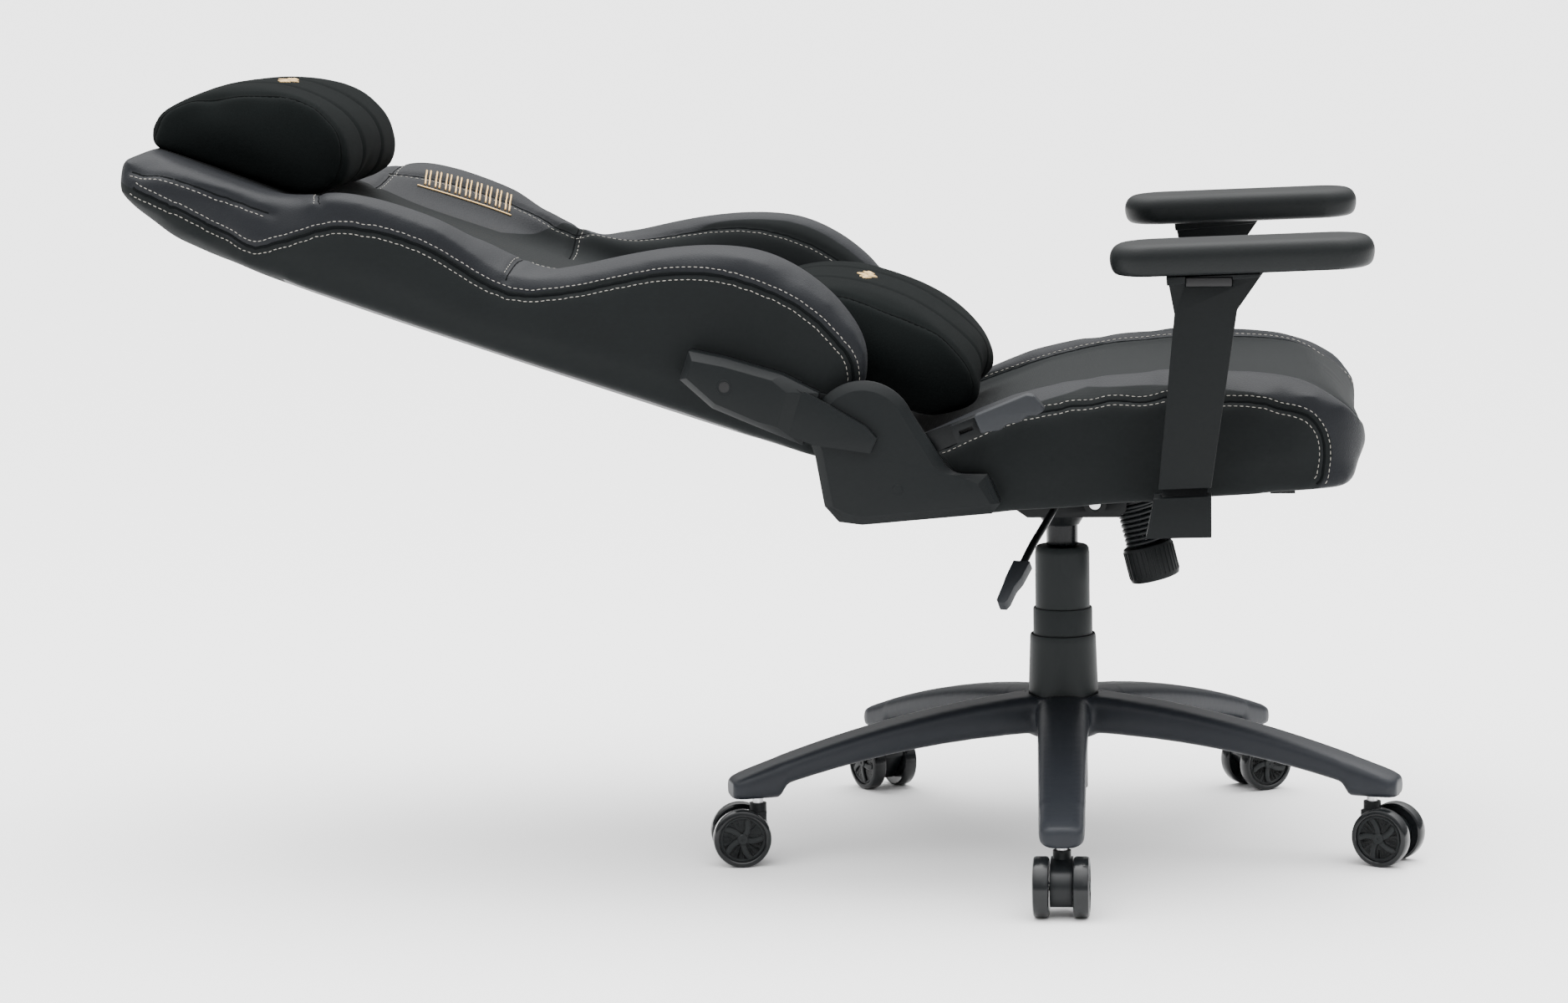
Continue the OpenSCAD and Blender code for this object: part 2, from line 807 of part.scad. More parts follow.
// Steel strip from its pivot inside the side cover out to the slotted block under the grip
module recline_lever() color([0.18, 0.19, 0.2]) {
    strip_y = -arm_plate_y;
    cross_pin(lever_pivot_x, lever_pivot_z, lever_pivot_r, strip_y - steel_t, -plate_y);
    translate([lever_pivot_x, 0, lever_pivot_z])
        rotate([0, -22, 0]) {
            side_slab(strip_y - steel_t, strip_y, concat(
                arc(0, 0, 11, 90, 270, 12),
                [[60, -10], [60, 8]]));
            difference() {
                side_slab(-cover_face_y - 12, strip_y - steel_t + tiny,
                          [[34, -9], [60, -9], [60, 9], [34, 9]]);
                side_slab(-cover_face_y - 13, -cover_face_y - 4, [[40, -2], [54, -2], [54, 2], [40, 2]]);
            }
        }
}

module recline_lever_grip() color([0.12, 0.13, 0.14]) {
    translate([lever_pivot_x, 0, lever_pivot_z])
        rotate([0, -22, 0])
            side_slab(-cover_face_y - 20, -cover_face_y - 1, [
                [60 + seat_gap, -8], [60 + seat_gap, 11], [116, 11], [122, 7], [127, -10], [117, -12],
                [108, -9], [98, -12], [88, -9], [78, -12], [68, -9]]);
}

// ---- arms ----

module arm_bracket() {
    translate([arm_base_x - 22.5, -arm_y - post_t / 2, arm_base_z])
        cube([45, arm_y + post_t / 2 - bracket_in, bracket_t]);
    difference() {
        on_arm()
            translate([-post_w / 2, -post_t / 2, 3])
                cube([post_w, post_t, post_top - 3]);
        on_arm()
            translate([-post_w / 2 + 2.5, -post_t / 2 + 2.5, bracket_t + 6])
                cube([post_w - 5, post_t - 5, post_top]);
    }
}

module arm_brackets() color([0.12, 0.12, 0.13]) {
    both_sides()
        arm_bracket();
}

module arm_socket() {
    half = sleeve_t / 2 + 4;
    difference() {
        side_slab(-arm_y - half, -arm_y + half, [[94, 373], [157, 374], [157, 413.8], [102, 411.6]]);
        on_arm()
            translate([-post_w / 2 - 0.3, -post_t / 2 - 0.3, -2])
                cube([post_w + 0.6, post_t + 0.6, 80]);
        translate([arm_base_x - 23, -arm_y - post_t / 2 - 0.5, arm_base_z - 0.5])
            cube([46, far, bracket_t + 1]);
    }
}

module arm_socket_right() color([0.14, 0.15, 0.16]) {
    arm_socket();
}

module arm_socket_left() color([0.14, 0.15, 0.16]) {
    mirror([0, 1, 0])
        arm_socket();
}

module button_box(grow, near, far) {
    translate([button_x[0] - grow, near, button_z[0] - grow])
        cube([button_x[1] - button_x[0] + 2 * grow, far - near, button_z[1] - button_z[0] + 2 * grow]);
}

module arm_sleeve() {
    flange = 12;
    difference() {
        union() {
            on_arm()
                side_slab(-sleeve_t / 2, sleeve_t / 2, [[-25.5, 34], [24.5, 42], [29.2, 215.6], [54, 262],
                                                        [-48, 262], [-29.9, 204.9]]);
            on_arm()
                side_slab(-sleeve_t / 2 - flange, sleeve_t / 2 + flange,
                          [[-40, 232], [46, 250], [54, 270], [-48, 270]]);
        }
        on_arm()
            translate([-post_w / 2 - run_gap, -post_t / 2 - run_gap, 0])
                cube([post_w + 2 * run_gap, post_t + 2 * run_gap, bore_top]);
        on_pad()
            translate([-far, -far, -pad_h / 2])
                cube([2 * far, 2 * far, far]);
        button_box(0, -arm_y - sleeve_t / 2 - flange - 1, -arm_y - sleeve_t / 2 - flange + button_depth);
    }
}

module arm_sleeve_right() color([0.14, 0.15, 0.16]) {
    arm_sleeve();
}

module arm_sleeve_left() color([0.14, 0.15, 0.16]) {
    mirror([0, 1, 0])
        arm_sleeve();
}

module arm_button() {
    face = -arm_y - sleeve_t / 2 - 12;
    button_box(-button_gap, face + 1, face + button_depth - 5);
}

module arm_button_right() color([0.05, 0.05, 0.06]) {
    arm_button();
}

module arm_button_left() color([0.05, 0.05, 0.06]) {
    mirror([0, 1, 0])
        arm_button();
}

module pad_plan() {
    r = 40;
    half = pad_w / 2;
    polygon(concat(
        arc(pad_len / 2 - r, r - half, r, -90, 0, 10),
        arc(pad_len / 2 - r, half - r, r, 0, 90, 10),
        arc(r - pad_len / 2, half - r, r, 90, 180, 10),
        arc(r - pad_len / 2, r - half, r, 180, 270, 10)));
}

module arm_pad() {
    half_l = pad_len / 2;
    half_h = pad_h / 2;
    on_pad()
        intersection() {
            translate([0, 0, -half_h])
                linear_extrude(height = pad_h)
                    pad_plan();
            side_slab(-pad_w, pad_w, [[-half_l, -4], [-half_l + 8, -half_h], [half_l - 8, -half_h],
                                      [half_l, -4], [half_l, 6], [half_l - 10, half_h],
                                      [10 - half_l, half_h], [-half_l, 6]]);
        }
}

module arm_pad_right() color([0.12, 0.13, 0.14]) {
    arm_pad();
}

module arm_pad_left() color([0.12, 0.13, 0.14]) {
    mirror([0, 1, 0])
        arm_pad();
}

// ---- back ----

module back_arms() color([0.3, 0.3, 0.32]) {
    on_back()
        both_sides()
            difference() {
                side_slab(-arm_plate_y - steel_t, -arm_plate_y, concat(
                    [[0, -24], [150, -15]],
                    arc(150, 0, 15, -70, 70, 10),
                    [[150, 15], [0, 24]],
                    arc(0, 0, 24, 90, 270, 16)));
                cross_pin(0, 0, hinge_pin_d / 2 + run_gap, -far, far);
                for (s = lug_s)
                    cross_pin(s, 0, bolt_hole_r, -far, far);
            }
}

module frame_loop(r, lug) {
    low = 40;
    shoulder = 590;
    crown = 750;
    both_sides() {
        bent_bar([[low, 0, frame_t], [low, frame_y, frame_t], [shoulder, frame_y, frame_t],
                  [shoulder + 30, head_frame_y, frame_t + 4], [crown, head_frame_y, frame_t + 12],
                  [crown, 0, frame_t + 12]], r);
        for (s = lug_s)
            translate([s - lug, frame_y - lug, frame_t + lug_r - lug + 4])
                cube([2 * lug, arm_plate_y - frame_y + lug + (lug - lug_r) * 4,
                      2 * lug - lug_r - frame_t - 4]);
    }
}

module back_frame() color([0.25, 0.25, 0.27]) {
    on_back()
        difference() {
            frame_loop(frame_d / 2, lug_r);
            for (s = lug_s)
                cross_pin(s, 0, bolt_hole_r, -far, far);
        }
}

function back_cover_outline(inset) =
    [[191 - inset, -8 + inset / 2], [191 - inset, 22 - inset], [155, 26 - inset], [96, 28 - inset],
     [56 + inset, 22 - inset], [56 + inset, -32 + inset], [152, -25 + inset]];

module back_cover() {
    on_back()
        mirror([0, 1, 0])
            difference() {
                union() {
                    side_slab(-tip_y - tip_t + 6, -back_w / 2 - 1, back_cover_outline(0));
                    side_slab(-tip_y - tip_t, 6.5 - tip_y - tip_t, back_cover_outline(5));
                    side_slab(-tip_y - tip_t, -tip_y, [[70, 20], [44, 15], [2, 6], [-12, -2], [-10, -18],
                                                       [46, -28], [70, -26]]);
                }
                side_slab(-tip_y, 1 - back_w / 2, back_cover_outline(4));
                side_slab(-arm_plate_y - steel_t - 1, 1 - back_w / 2,
                          [[30, -25], [100, -25], [100, 25], [30, 25]]);
                cross_pin(lug_s[1], 0, bolt_hole_r + 1.5, -far, far);
            }
}

module back_cover_right() color([0.16, 0.17, 0.19]) {
    back_cover();
}

module back_cover_left() color([0.16, 0.17, 0.19]) {
    mirror([0, 1, 0])
        back_cover();
}

wing_outline = [[30, -46], [480, -46], [640, -44], [726, -36], [back_len - 8, -14], [back_len, 8],
                [back_len - 5, 24], [704, 26], [659, 26], [621, 32], [602, 45], [580, 57],
                [537, 62], [468, 62], [438, 54], [399, 44],
                [366, 49], [320, 68], [275, 93], [230, 117], [190, 130], [148, 135], [112, 129],
                [73, 116], [40, 96], [18, 74], [8, 46], [12, 0]];
channel_outline = [[-20, back_panel_front], [560, back_panel_front], [620, 22],
                   [back_len + 1, 26], [back_len + 1, 200], [-20, 200]];

module back_plan() {
    half = back_w / 2;
    head = head_w / 2;
    r = 60;
    polygon(concat(
        [[5, -half + 12], [20, -half], [590, -half], [650, -head - 14], [690, -head]],
        arc(back_len - r, r - head, r, -90, 0, 10),
        arc(back_len - r, head - r, r, 0, 90, 10),
        [[690, head], [650, head + 14], [590, half], [20, half], [5, half - 12]]));
}

module back_cushion() color([0.21, 0.22, 0.25]) {
    on_back()
        difference() {
            intersection() {
                side_slab(-back_w / 2, back_w / 2, wing_outline);
                translate([0, 0, -100])
                    linear_extrude(height = 300)
                        back_plan();
            }
            side_slab(-wing_in, wing_in, channel_outline);
            frame_loop(frame_d / 2 + 1, lug_r + 1);
        }
}

lumbar_outline = [[-50, 14], [150, 15], [168, 40], [164, 75], [130, 98], [74, 112], [6, 112], [-40, 104],
                  [-75, 84], [-98, 60], [-103, 44], [-88, 28]];
head_outline = [[604, 34], [640, 28], [790, 28], [806, 40], [800, 62], [768, 86], [720, 106], [673, 119],
                [640, 118], [608, 102], [586, 76], [583, 54]];

module pillow(half, outline, from, to) {
    corner = 30;
    intersection() {
        side_slab(-half, half, outline);
        translate([0, 0, -50])
            linear_extrude(height = 300)
                polygon(concat(
                    arc(to - corner, half - corner, corner, 0, 90, 6),
                    arc(from + corner, half - corner, corner, 90, 180, 6),
                    arc(from + corner, corner - half, corner, 180, 270, 6),
                    arc(to - corner, corner - half, corner, 270, 360, 6)));
    }
}

module lumbar_pillow() color([0.05, 0.055, 0.055]) {
    on_back()
        pillow(172, lumbar_outline, -103, 168);
}

module head_pillow() color([0.05, 0.055, 0.055]) {
    on_back()
        pillow(152, head_outline, 583, 806);
}

// ---- nodes ----

star_base();
column_tube();
column_bush();
thrust_bearing();
rod_clip();
lower_cover();
caster_body(0);  // caster_1_body
caster_pins(0);  // caster_1_pins
caster_wheels(0);  // caster_1_wheels
caster_body(1);  // caster_2_body
caster_pins(1);  // caster_2_pins
caster_wheels(1);  // caster_2_wheels
caster_body(2);  // caster_3_body
caster_pins(2);  // caster_3_pins
caster_wheels(2);  // caster_3_wheels
caster_body(3);  // caster_4_body
caster_pins(3);  // caster_4_pins
caster_wheels(3);  // caster_4_wheels
caster_body(4);  // caster_5_body
caster_pins(4);  // caster_5_pins
caster_wheels(4);  // caster_5_wheels
piston_rod();
middle_cover();
upper_cover();
gas_cylinder();
release_pin();
mechanism_housing();
tilt_pin();
lever_bush();
height_lever();
height_lever_grip();
seat_plate();
seat_bolts();
tension_bolt();
tension_spring();
tension_knob();
seat_frame();
seat_cushion();
recliner_plates();
hinge_pins();
side_cover_right();
side_cover_left();
recline_lever();
recline_lever_grip();
arm_brackets();
arm_socket_right();
arm_sleeve_right();
arm_button_right();
arm_pad_right();
arm_socket_left();
arm_sleeve_left();
arm_button_left();
arm_pad_left();
back_arms();
back_frame();
back_cover_right();
back_cover_left();
back_cushion();
lumbar_pillow();
head_pillow();
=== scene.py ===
import json
import math
import bmesh
import bpy
from mathutils import Matrix, Vector
from mathutils.bvhtree import BVHTree


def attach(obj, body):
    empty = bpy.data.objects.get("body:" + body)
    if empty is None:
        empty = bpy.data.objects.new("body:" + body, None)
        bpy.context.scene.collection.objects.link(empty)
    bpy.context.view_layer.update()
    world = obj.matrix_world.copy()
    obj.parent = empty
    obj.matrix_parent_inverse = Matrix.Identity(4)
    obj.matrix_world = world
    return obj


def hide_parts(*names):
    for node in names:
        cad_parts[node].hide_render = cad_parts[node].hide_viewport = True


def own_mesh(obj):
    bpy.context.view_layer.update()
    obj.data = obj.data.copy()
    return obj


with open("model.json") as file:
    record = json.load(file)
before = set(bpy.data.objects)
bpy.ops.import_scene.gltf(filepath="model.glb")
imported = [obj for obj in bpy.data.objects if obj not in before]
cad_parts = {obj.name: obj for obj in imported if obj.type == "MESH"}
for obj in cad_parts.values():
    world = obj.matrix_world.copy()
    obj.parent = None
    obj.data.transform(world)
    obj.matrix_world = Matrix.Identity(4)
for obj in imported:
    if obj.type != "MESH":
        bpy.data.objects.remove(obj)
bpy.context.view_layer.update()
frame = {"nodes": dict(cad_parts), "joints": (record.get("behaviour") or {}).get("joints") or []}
cad = frame["nodes"]
jointNamed = {j["name"]: j for j in frame["joints"]}
print("frame loaded", len(cad), "nodes")


# shader maths: a wire is a socket in a tree, and sums on wires add nodes

class Wire:
    def __init__(self, tree, socket=None):
        self.tree, self.socket = tree, socket

    def node(self, kind, settings=None, inputs=None, output=0):
        made = self.tree.nodes.new(kind)
        for name, value in (settings or {}).items():
            if name == "stops":  # a ramp's stops, as (place, colour)
                while len(made.color_ramp.elements) < len(value):
                    made.color_ramp.elements.new(0.5)
                for element, (place, colour) in zip(made.color_ramp.elements, value):
                    element.position, element.color = place, colour
            else:
                setattr(made, name, value)
        for name, value in (inputs or {}).items():
            if isinstance(value, Wire):
                self.tree.links.new(value.socket, made.inputs[name])
            else:
                made.inputs[name].default_value = value
        return Wire(self.tree, made.outputs[output] if made.outputs else None)

    def sum(self, operation, first, second=0.0, clamp=False):
        return self.node("ShaderNodeMath", {"operation": operation, "use_clamp": clamp},
                         {0: first, 1: second})

    def __add__(self, other):
        return self.sum("ADD", self, other)

    def __sub__(self, other):
        return self.sum("SUBTRACT", self, other)

    def __rsub__(self, other):
        return self.sum("SUBTRACT", other, self)

    def __mul__(self, other):
        return self.sum("MULTIPLY", self, other)

    def __truediv__(self, other):
        return self.sum("DIVIDE", self, other)

    __radd__ = __add__
    __rmul__ = __mul__

    def clamped(self):
        return self.sum("ADD", self, 0.0, True)

    def mixed(self, first, second):  # first where the wire is 0, second where it is 1
        return self.node("ShaderNodeMix", {"data_type": "RGBA"}, {0: self, 6: first, 7: second}, 2)

    def noise(self, scale, detail=3.0, stretch=(1, 1, 1)):
        place = self.node("ShaderNodeTexCoord", output=3)
        place = self.node("ShaderNodeMapping", {}, {"Vector": place, "Scale": stretch})
        return self.node("ShaderNodeTexNoise", {}, {"Vector": place, "Scale": scale, "Detail": detail})

    def cells(self, scale):
        place = self.node("ShaderNodeTexCoord", output=3)
        return self.node("ShaderNodeTexVoronoi", {"feature": "DISTANCE_TO_EDGE"},
                         {"Vector": place, "Scale": scale})

    def weave(self, scale):  # two crossed sets of fine bands
        place = self.node("ShaderNodeTexCoord", output=3)
        bands = [self.node("ShaderNodeTexWave", {"bands_direction": way}, {"Vector": place, "Scale": scale})
                 for way in ("X", "Z")]
        return bands[0] * bands[1]

    def carried(self, name):  # a value stored on the piece's own points
        return self.node("ShaderNodeAttribute", {"attribute_name": name}, {}, 2)

    def bump(self, height, strength, distance):
        return self.node("ShaderNodeBump", {},
                         {"Height": height, "Strength": strength, "Distance": distance})


def rgb(r, g, b):
    return (r, g, b, 1.0)


def newMaterial(name, colour, rough, fixed=None):
    made = bpy.data.materials.new(name)
    made.use_nodes = True
    tree = made.node_tree
    surface = tree.nodes["Principled BSDF"]
    surface.inputs["Roughness"].default_value = rough
    surface.inputs["Base Color"].default_value = colour
    for key, value in (fixed or {}).items():
        surface.inputs[key].default_value = value
    return made, Wire(tree), surface


def feed(surface, name, wire):
    wire.tree.links.new(wire.socket, surface.inputs[name])


def mouldedPlastic(name, colour, rough, grain=260.0, depth=0.25, shine=0.28):
    made, wire, surface = newMaterial(name, colour, rough, {"Specular IOR Level": shine})
    spots = wire.noise(grain, 4.0)
    wear = wire.noise(9.0, 2.0)
    lighter = tuple(min(1.0, c * 1.22) for c in colour[:3]) + (1.0,)
    feed(surface, "Base Color", wear.mixed(colour, lighter))
    feed(surface, "Roughness", rough - 0.05 + wear * 0.1)
    feed(surface, "Normal", wire.bump(spots, depth, 0.0004))
    return made


def metal(name, colour, rough, streak=60.0):
    made, wire, surface = newMaterial(name, colour, rough, {"Metallic": 1.0})
    feed(surface, "Roughness", rough - 0.06 + wire.noise(streak, 2.0, (1, 1, 6)) * 0.12)
    return made


def velvet(name, colour, sheen):
    made, wire, surface = newMaterial(name, colour, 0.9, {"Sheen Weight": sheen, "Sheen Roughness": 0.45,
                                                          "Specular IOR Level": 0.05})
    nap = wire.noise(700.0, 3.0)
    brushed = wire.noise(14.0, 3.0, (1, 2, 1))
    dark = tuple(c * 0.72 for c in colour[:3]) + (1.0,)
    feed(surface, "Base Color", brushed.mixed(dark, colour))
    feed(surface, "Normal", wire.bump(nap + brushed * 0.6, 0.35, 0.0006))
    return made


# hide where "hidePart" is above 0, cloth elsewhere: the line between them follows a seam exactly
def upholstery(name, settings):
    made, wire, surface = newMaterial(name, settings["hide"], settings["hideRough"],
                                      {"Sheen Weight": settings["sheen"], "Sheen Roughness": 0.5,
                                       "Specular IOR Level": 0.11})
    part = (wire.carried("hidePart") * 900.0 + 0.5).clamped()
    pebbles = wire.cells(420.0)
    thread = wire.weave(330.0)
    cloud = wire.noise(11.0, 3.0)
    hide = cloud.mixed(settings["hide"], settings["hideLight"])
    cloth = cloud.mixed(settings["cloth"], settings["clothLight"])
    feed(surface, "Base Color", part.mixed(cloth, hide))
    feed(surface, "Roughness",
         settings["clothRough"] - part * (settings["clothRough"] - settings["hideRough"]))
    feed(surface, "Normal", wire.bump(part * pebbles * 2.2 + (1.0 - part) * thread, 0.3, 0.0005))
    return made


def yarn(name, colour, rough, metallic=0.0):
    made, wire, surface = newMaterial(name, colour, rough, {"Metallic": metallic})
    dark = tuple(c * 0.7 for c in colour[:3]) + (1.0,)
    feed(surface, "Base Color", wire.noise(300.0, 2.0).mixed(dark, colour))
    return made


finish = {
    "base": mouldedPlastic("basePlastic", rgb(0.0125, 0.0142, 0.0178), 0.42, 320.0, 0.12, 0.2),
    "cover": mouldedPlastic("coverPlastic", rgb(0.0043, 0.0053, 0.0057), 0.5, shine=0.12),
    # the lift covers are the cover plastic made lighter: painted light on the round column
    "column": mouldedPlastic("coverPlasticPaintedLit", rgb(0.011, 0.013, 0.0135), 0.5, shine=0.14),
    "arm": mouldedPlastic("armPlastic", rgb(0.0034, 0.0042, 0.0045), 0.52, shine=0.11),
    "button": mouldedPlastic("buttonPlastic", rgb(0.004, 0.004, 0.0045), 0.45),
    "lever": mouldedPlastic("leverPlastic", rgb(0.014, 0.0155, 0.018), 0.5, shine=0.2),
    "knob": mouldedPlastic("knobPlastic", rgb(0.0042, 0.0052, 0.0056), 0.5, 200.0, 0.06, 0.14),
    "caster": mouldedPlastic("casterPlastic", rgb(0.0060, 0.0070, 0.0078), 0.34, 200.0, 0.08, 0.22),
    "rim": mouldedPlastic("wheelRim", rgb(0.006, 0.0068, 0.0075), 0.2, 150.0, 0.03, 0.3),
    "disc": mouldedPlastic("wheelDisc", rgb(0.0085, 0.0100, 0.0105), 0.45, 220.0, 0.2, 0.2),
    "bush": mouldedPlastic("bushPlastic", rgb(0.55, 0.55, 0.52), 0.5, 120.0, 0.1),
    "gloss": mouldedPlastic("glossBlack", rgb(0.0035, 0.0040, 0.0048), 0.26, 100.0, 0.02, 0.16),
    "steel": metal("pinSteel", rgb(0.62, 0.62, 0.63), 0.3),
    "coated": mouldedPlastic("coatedSteel", rgb(0.0034, 0.0040, 0.0044), 0.38, 420.0, 0.15, 0.12),
    "wire": mouldedPlastic("springWire", rgb(0.0048, 0.0058, 0.0064), 0.36, 400.0, 0.1, 0.2),
    "pad": mouldedPlastic("padSkin", rgb(0.0040, 0.0050, 0.0053), 0.46, 520.0, 0.45, 0.15),
    "velour": velvet("velour", rgb(0.0044, 0.0056, 0.0056), 0.0),
    # the pillow piping is the velour made darker: a real piping cord, darkened as painted shade in the ring
    # seams
    "cordedEdge": velvet("velourPipingPaintedShade", rgb(0.0026, 0.0033, 0.0033), 0.0),
    "thread": yarn("seamThread", rgb(0.40, 0.38, 0.34), 0.75),
    "gold": yarn("goldThread", rgb(0.70, 0.47, 0.20), 0.42, 0.35),
    # the seam welts are faux leather in a darker matte colour than the hide: a real welt cord, darkened as
    # painted shade in the seam
    "welt": velvet("seamWeltPaintedShade", rgb(0.0040, 0.0048, 0.0052), 0.0),
    "cushion": upholstery("upholstery", {
        "hide": rgb(0.0070, 0.0078, 0.0095), "hideLight": rgb(0.0090, 0.0100, 0.0120), "hideRough": 0.47,
        "cloth": rgb(0.0052, 0.0063, 0.0066), "clothLight": rgb(0.0070, 0.0084, 0.0087), "clothRough": 0.82,
        "sheen": 0.02}),
}
print("materials", len(finish))


# making and placing pieces

def mm(*values):
    return Vector([v / 1000.0 for v in values])


def place(bm, name, body, material, slot, replaces=(), smooth=35.0):
    mesh = bpy.data.meshes.new(name)
    bm.to_mesh(mesh)
    bm.free()
    mesh.materials.append(finish[material])
    made = bpy.data.objects.new(name, mesh)
    bpy.context.scene.collection.objects.link(made)
    shadeByAngle(mesh, smooth)
    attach(made, body)
    if replaces:
        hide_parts(*replaces)
    return made


def shadeByAngle(mesh, degrees):
    mesh.shade_smooth()
    if degrees < 180:
        mesh.set_sharp_from_angle(angle=math.radians(degrees))


def closeUp(bm, gap=1e-6):
    bmesh.ops.remove_doubles(bm, verts=bm.verts, dist=gap)
    bmesh.ops.recalc_face_normals(bm, faces=bm.faces)
    return bm


def sharpEdges(bm, degrees):
    limit = math.radians(degrees)
    return [e for e in bm.edges if len(e.link_faces) == 2 and e.calc_face_angle(0.0) > limit]


def bevelSharp(bm, width, segments=2, degrees=30.0):
    edges = sharpEdges(bm, degrees)
    if edges:
        bmesh.ops.bevel(bm, geom=edges, offset=width, offset_type="OFFSET", segments=segments, profile=0.5,
                        affect="EDGES", clamp_overlap=True, material=-1)
    return bm


def lathe(profile, steps=64):  # a profile of (radius, height) in millimetres, turned about z
    bm = bmesh.new()
    points = [bm.verts.new(mm(r, 0, z)) for r, z in profile]
    edges = [bm.edges.new(pair) for pair in zip(points, points[1:])]
    bmesh.ops.spin(bm, geom=points + edges, cent=(0, 0, 0), axis=(0, 0, 1), angle=math.tau, steps=steps,
                   use_merge=True)
    return closeUp(bm, 1e-5)


def join(bm, other, matrix=None):
    spare = bpy.data.meshes.new("spare")
    other.to_mesh(spare)
    other.free()
    if matrix is not None:
        spare.transform(matrix)
    bm.from_mesh(spare)
    bpy.data.meshes.remove(spare)
    return bm


def standOn(axis):  # turns z onto an axis
    return Vector((0, 0, 1)).rotation_difference(Vector(axis).normalized()).to_matrix().to_4x4()


# a moulded version of a CAD node: merged, flat faces joined, edges rounded
def moulded(name, node, body, material, slot, width, segments=2, degrees=30.0, smooth=35.0):
    bm = bmesh.new()
    bm.from_mesh(cad[node].data)
    bmesh.ops.remove_doubles(bm, verts=bm.verts, dist=1e-6)
    bmesh.ops.dissolve_limit(bm, angle_limit=math.radians(0.4), verts=bm.verts, edges=bm.edges)
    bevelSharp(bm, width / 1000.0, segments, degrees)
    return place(bm, name, body, material, slot, [node], smooth)


def tube(points, radius, sides=8, closed=False):  # a round cord through points, in metres
    curve = bpy.data.curves.new("path", "CURVE")
    curve.dimensions = "3D"
    curve.bevel_depth = radius
    curve.bevel_resolution = max(0, sides // 2 - 2)
    curve.use_fill_caps = True
    line = curve.splines.new("POLY")
    line.points.add(len(points) - 1)
    for point, at in zip(line.points, points):
        point.co = (*at, 1.0)
    line.use_cyclic_u = closed
    holder = bpy.data.objects.new("path", curve)
    bpy.context.scene.collection.objects.link(holder)
    bpy.context.view_layer.update()
    mesh = bpy.data.meshes.new_from_object(holder.evaluated_get(bpy.context.evaluated_depsgraph_get()))
    bm = bmesh.new()
    bm.from_mesh(mesh)
    bpy.data.objects.remove(holder)
    bpy.data.curves.remove(curve)
    bpy.data.meshes.remove(mesh)
    return closeUp(bm)


def rounded(points, times=2):  # cuts the corners of a line
    for _ in range(times):
        cut = [points[0]]
        for a, b in zip(points, points[1:]):
            cut += [a.lerp(b, 0.25), a.lerp(b, 0.75)]
        points = cut + [points[-1]]
    return points


def spaced(points, pitch):  # points along a line, a set distance apart
    out, left = [points[0].copy()], pitch
    for a, b in zip(points, points[1:]):
        run = (b - a).length
        at = left
        while at <= run:
            out.append(a.lerp(b, at / run))
            at += pitch
        left = at - run
    return out


# the back leans about its hinge: s runs up the back, t towards the sitter

lean = {"hinge": (-180.0, 470.0), "slope": 18.5}
upBack = Vector((-math.cos(math.radians(lean["slope"])), 0, math.sin(math.radians(lean["slope"]))))
outBack = Vector((math.sin(math.radians(lean["slope"])), 0, math.cos(math.radians(lean["slope"]))))
hingeAt = mm(lean["hinge"][0], 0, lean["hinge"][1])


def onBack(s, t, y=0.0):
    return hingeAt + upBack * s / 1000.0 + outBack * t / 1000.0 + Vector((0, y / 1000.0, 0))


def backPlace(point):  # (s, t) of a point, in millimetres
    away = point - hingeAt
    return away.dot(upBack) * 1000.0, away.dot(outBack) * 1000.0


# stuffed pieces: a remeshed copy, blown up a little as cloth

def heightAt(line, x):  # a line's value, with x along it
    for (xa, za), (xb, zb) in zip(line, line[1:]):
        if min(xa, xb) <= x <= max(xa, xb) and xa != xb:
            return za + (zb - za) * (x - xa) / (xb - xa)
    ends = sorted(line)
    return ends[0][1] if x < ends[0][0] else ends[-1][1]


def sideOf(line, x, z):  # distance to a line, positive on its left as it runs
    best, side = 1e9, 1.0
    for (xa, za), (xb, zb) in zip(line, line[1:]):
        dx, dz = xb - xa, zb - za
        k = max(0.0, min(1.0, ((x - xa) * dx + (z - za) * dz) / (dx * dx + dz * dz)))
        gapX, gapZ = x - xa - dx * k, z - za - dz * k
        away = math.hypot(gapX, gapZ)
        if away < best - 1e-9:
            best, side = away, 1.0 if dx * (z - za) - dz * (x - xa) > 0 else -1.0
    return best * side


def relax(bm, verts, times):  # evens out a surface a little at a time
    for _ in range(times):
        bmesh.ops.smooth_vert(bm, verts=verts, factor=0.5, use_axis_x=True, use_axis_y=True,
                              use_axis_z=True)


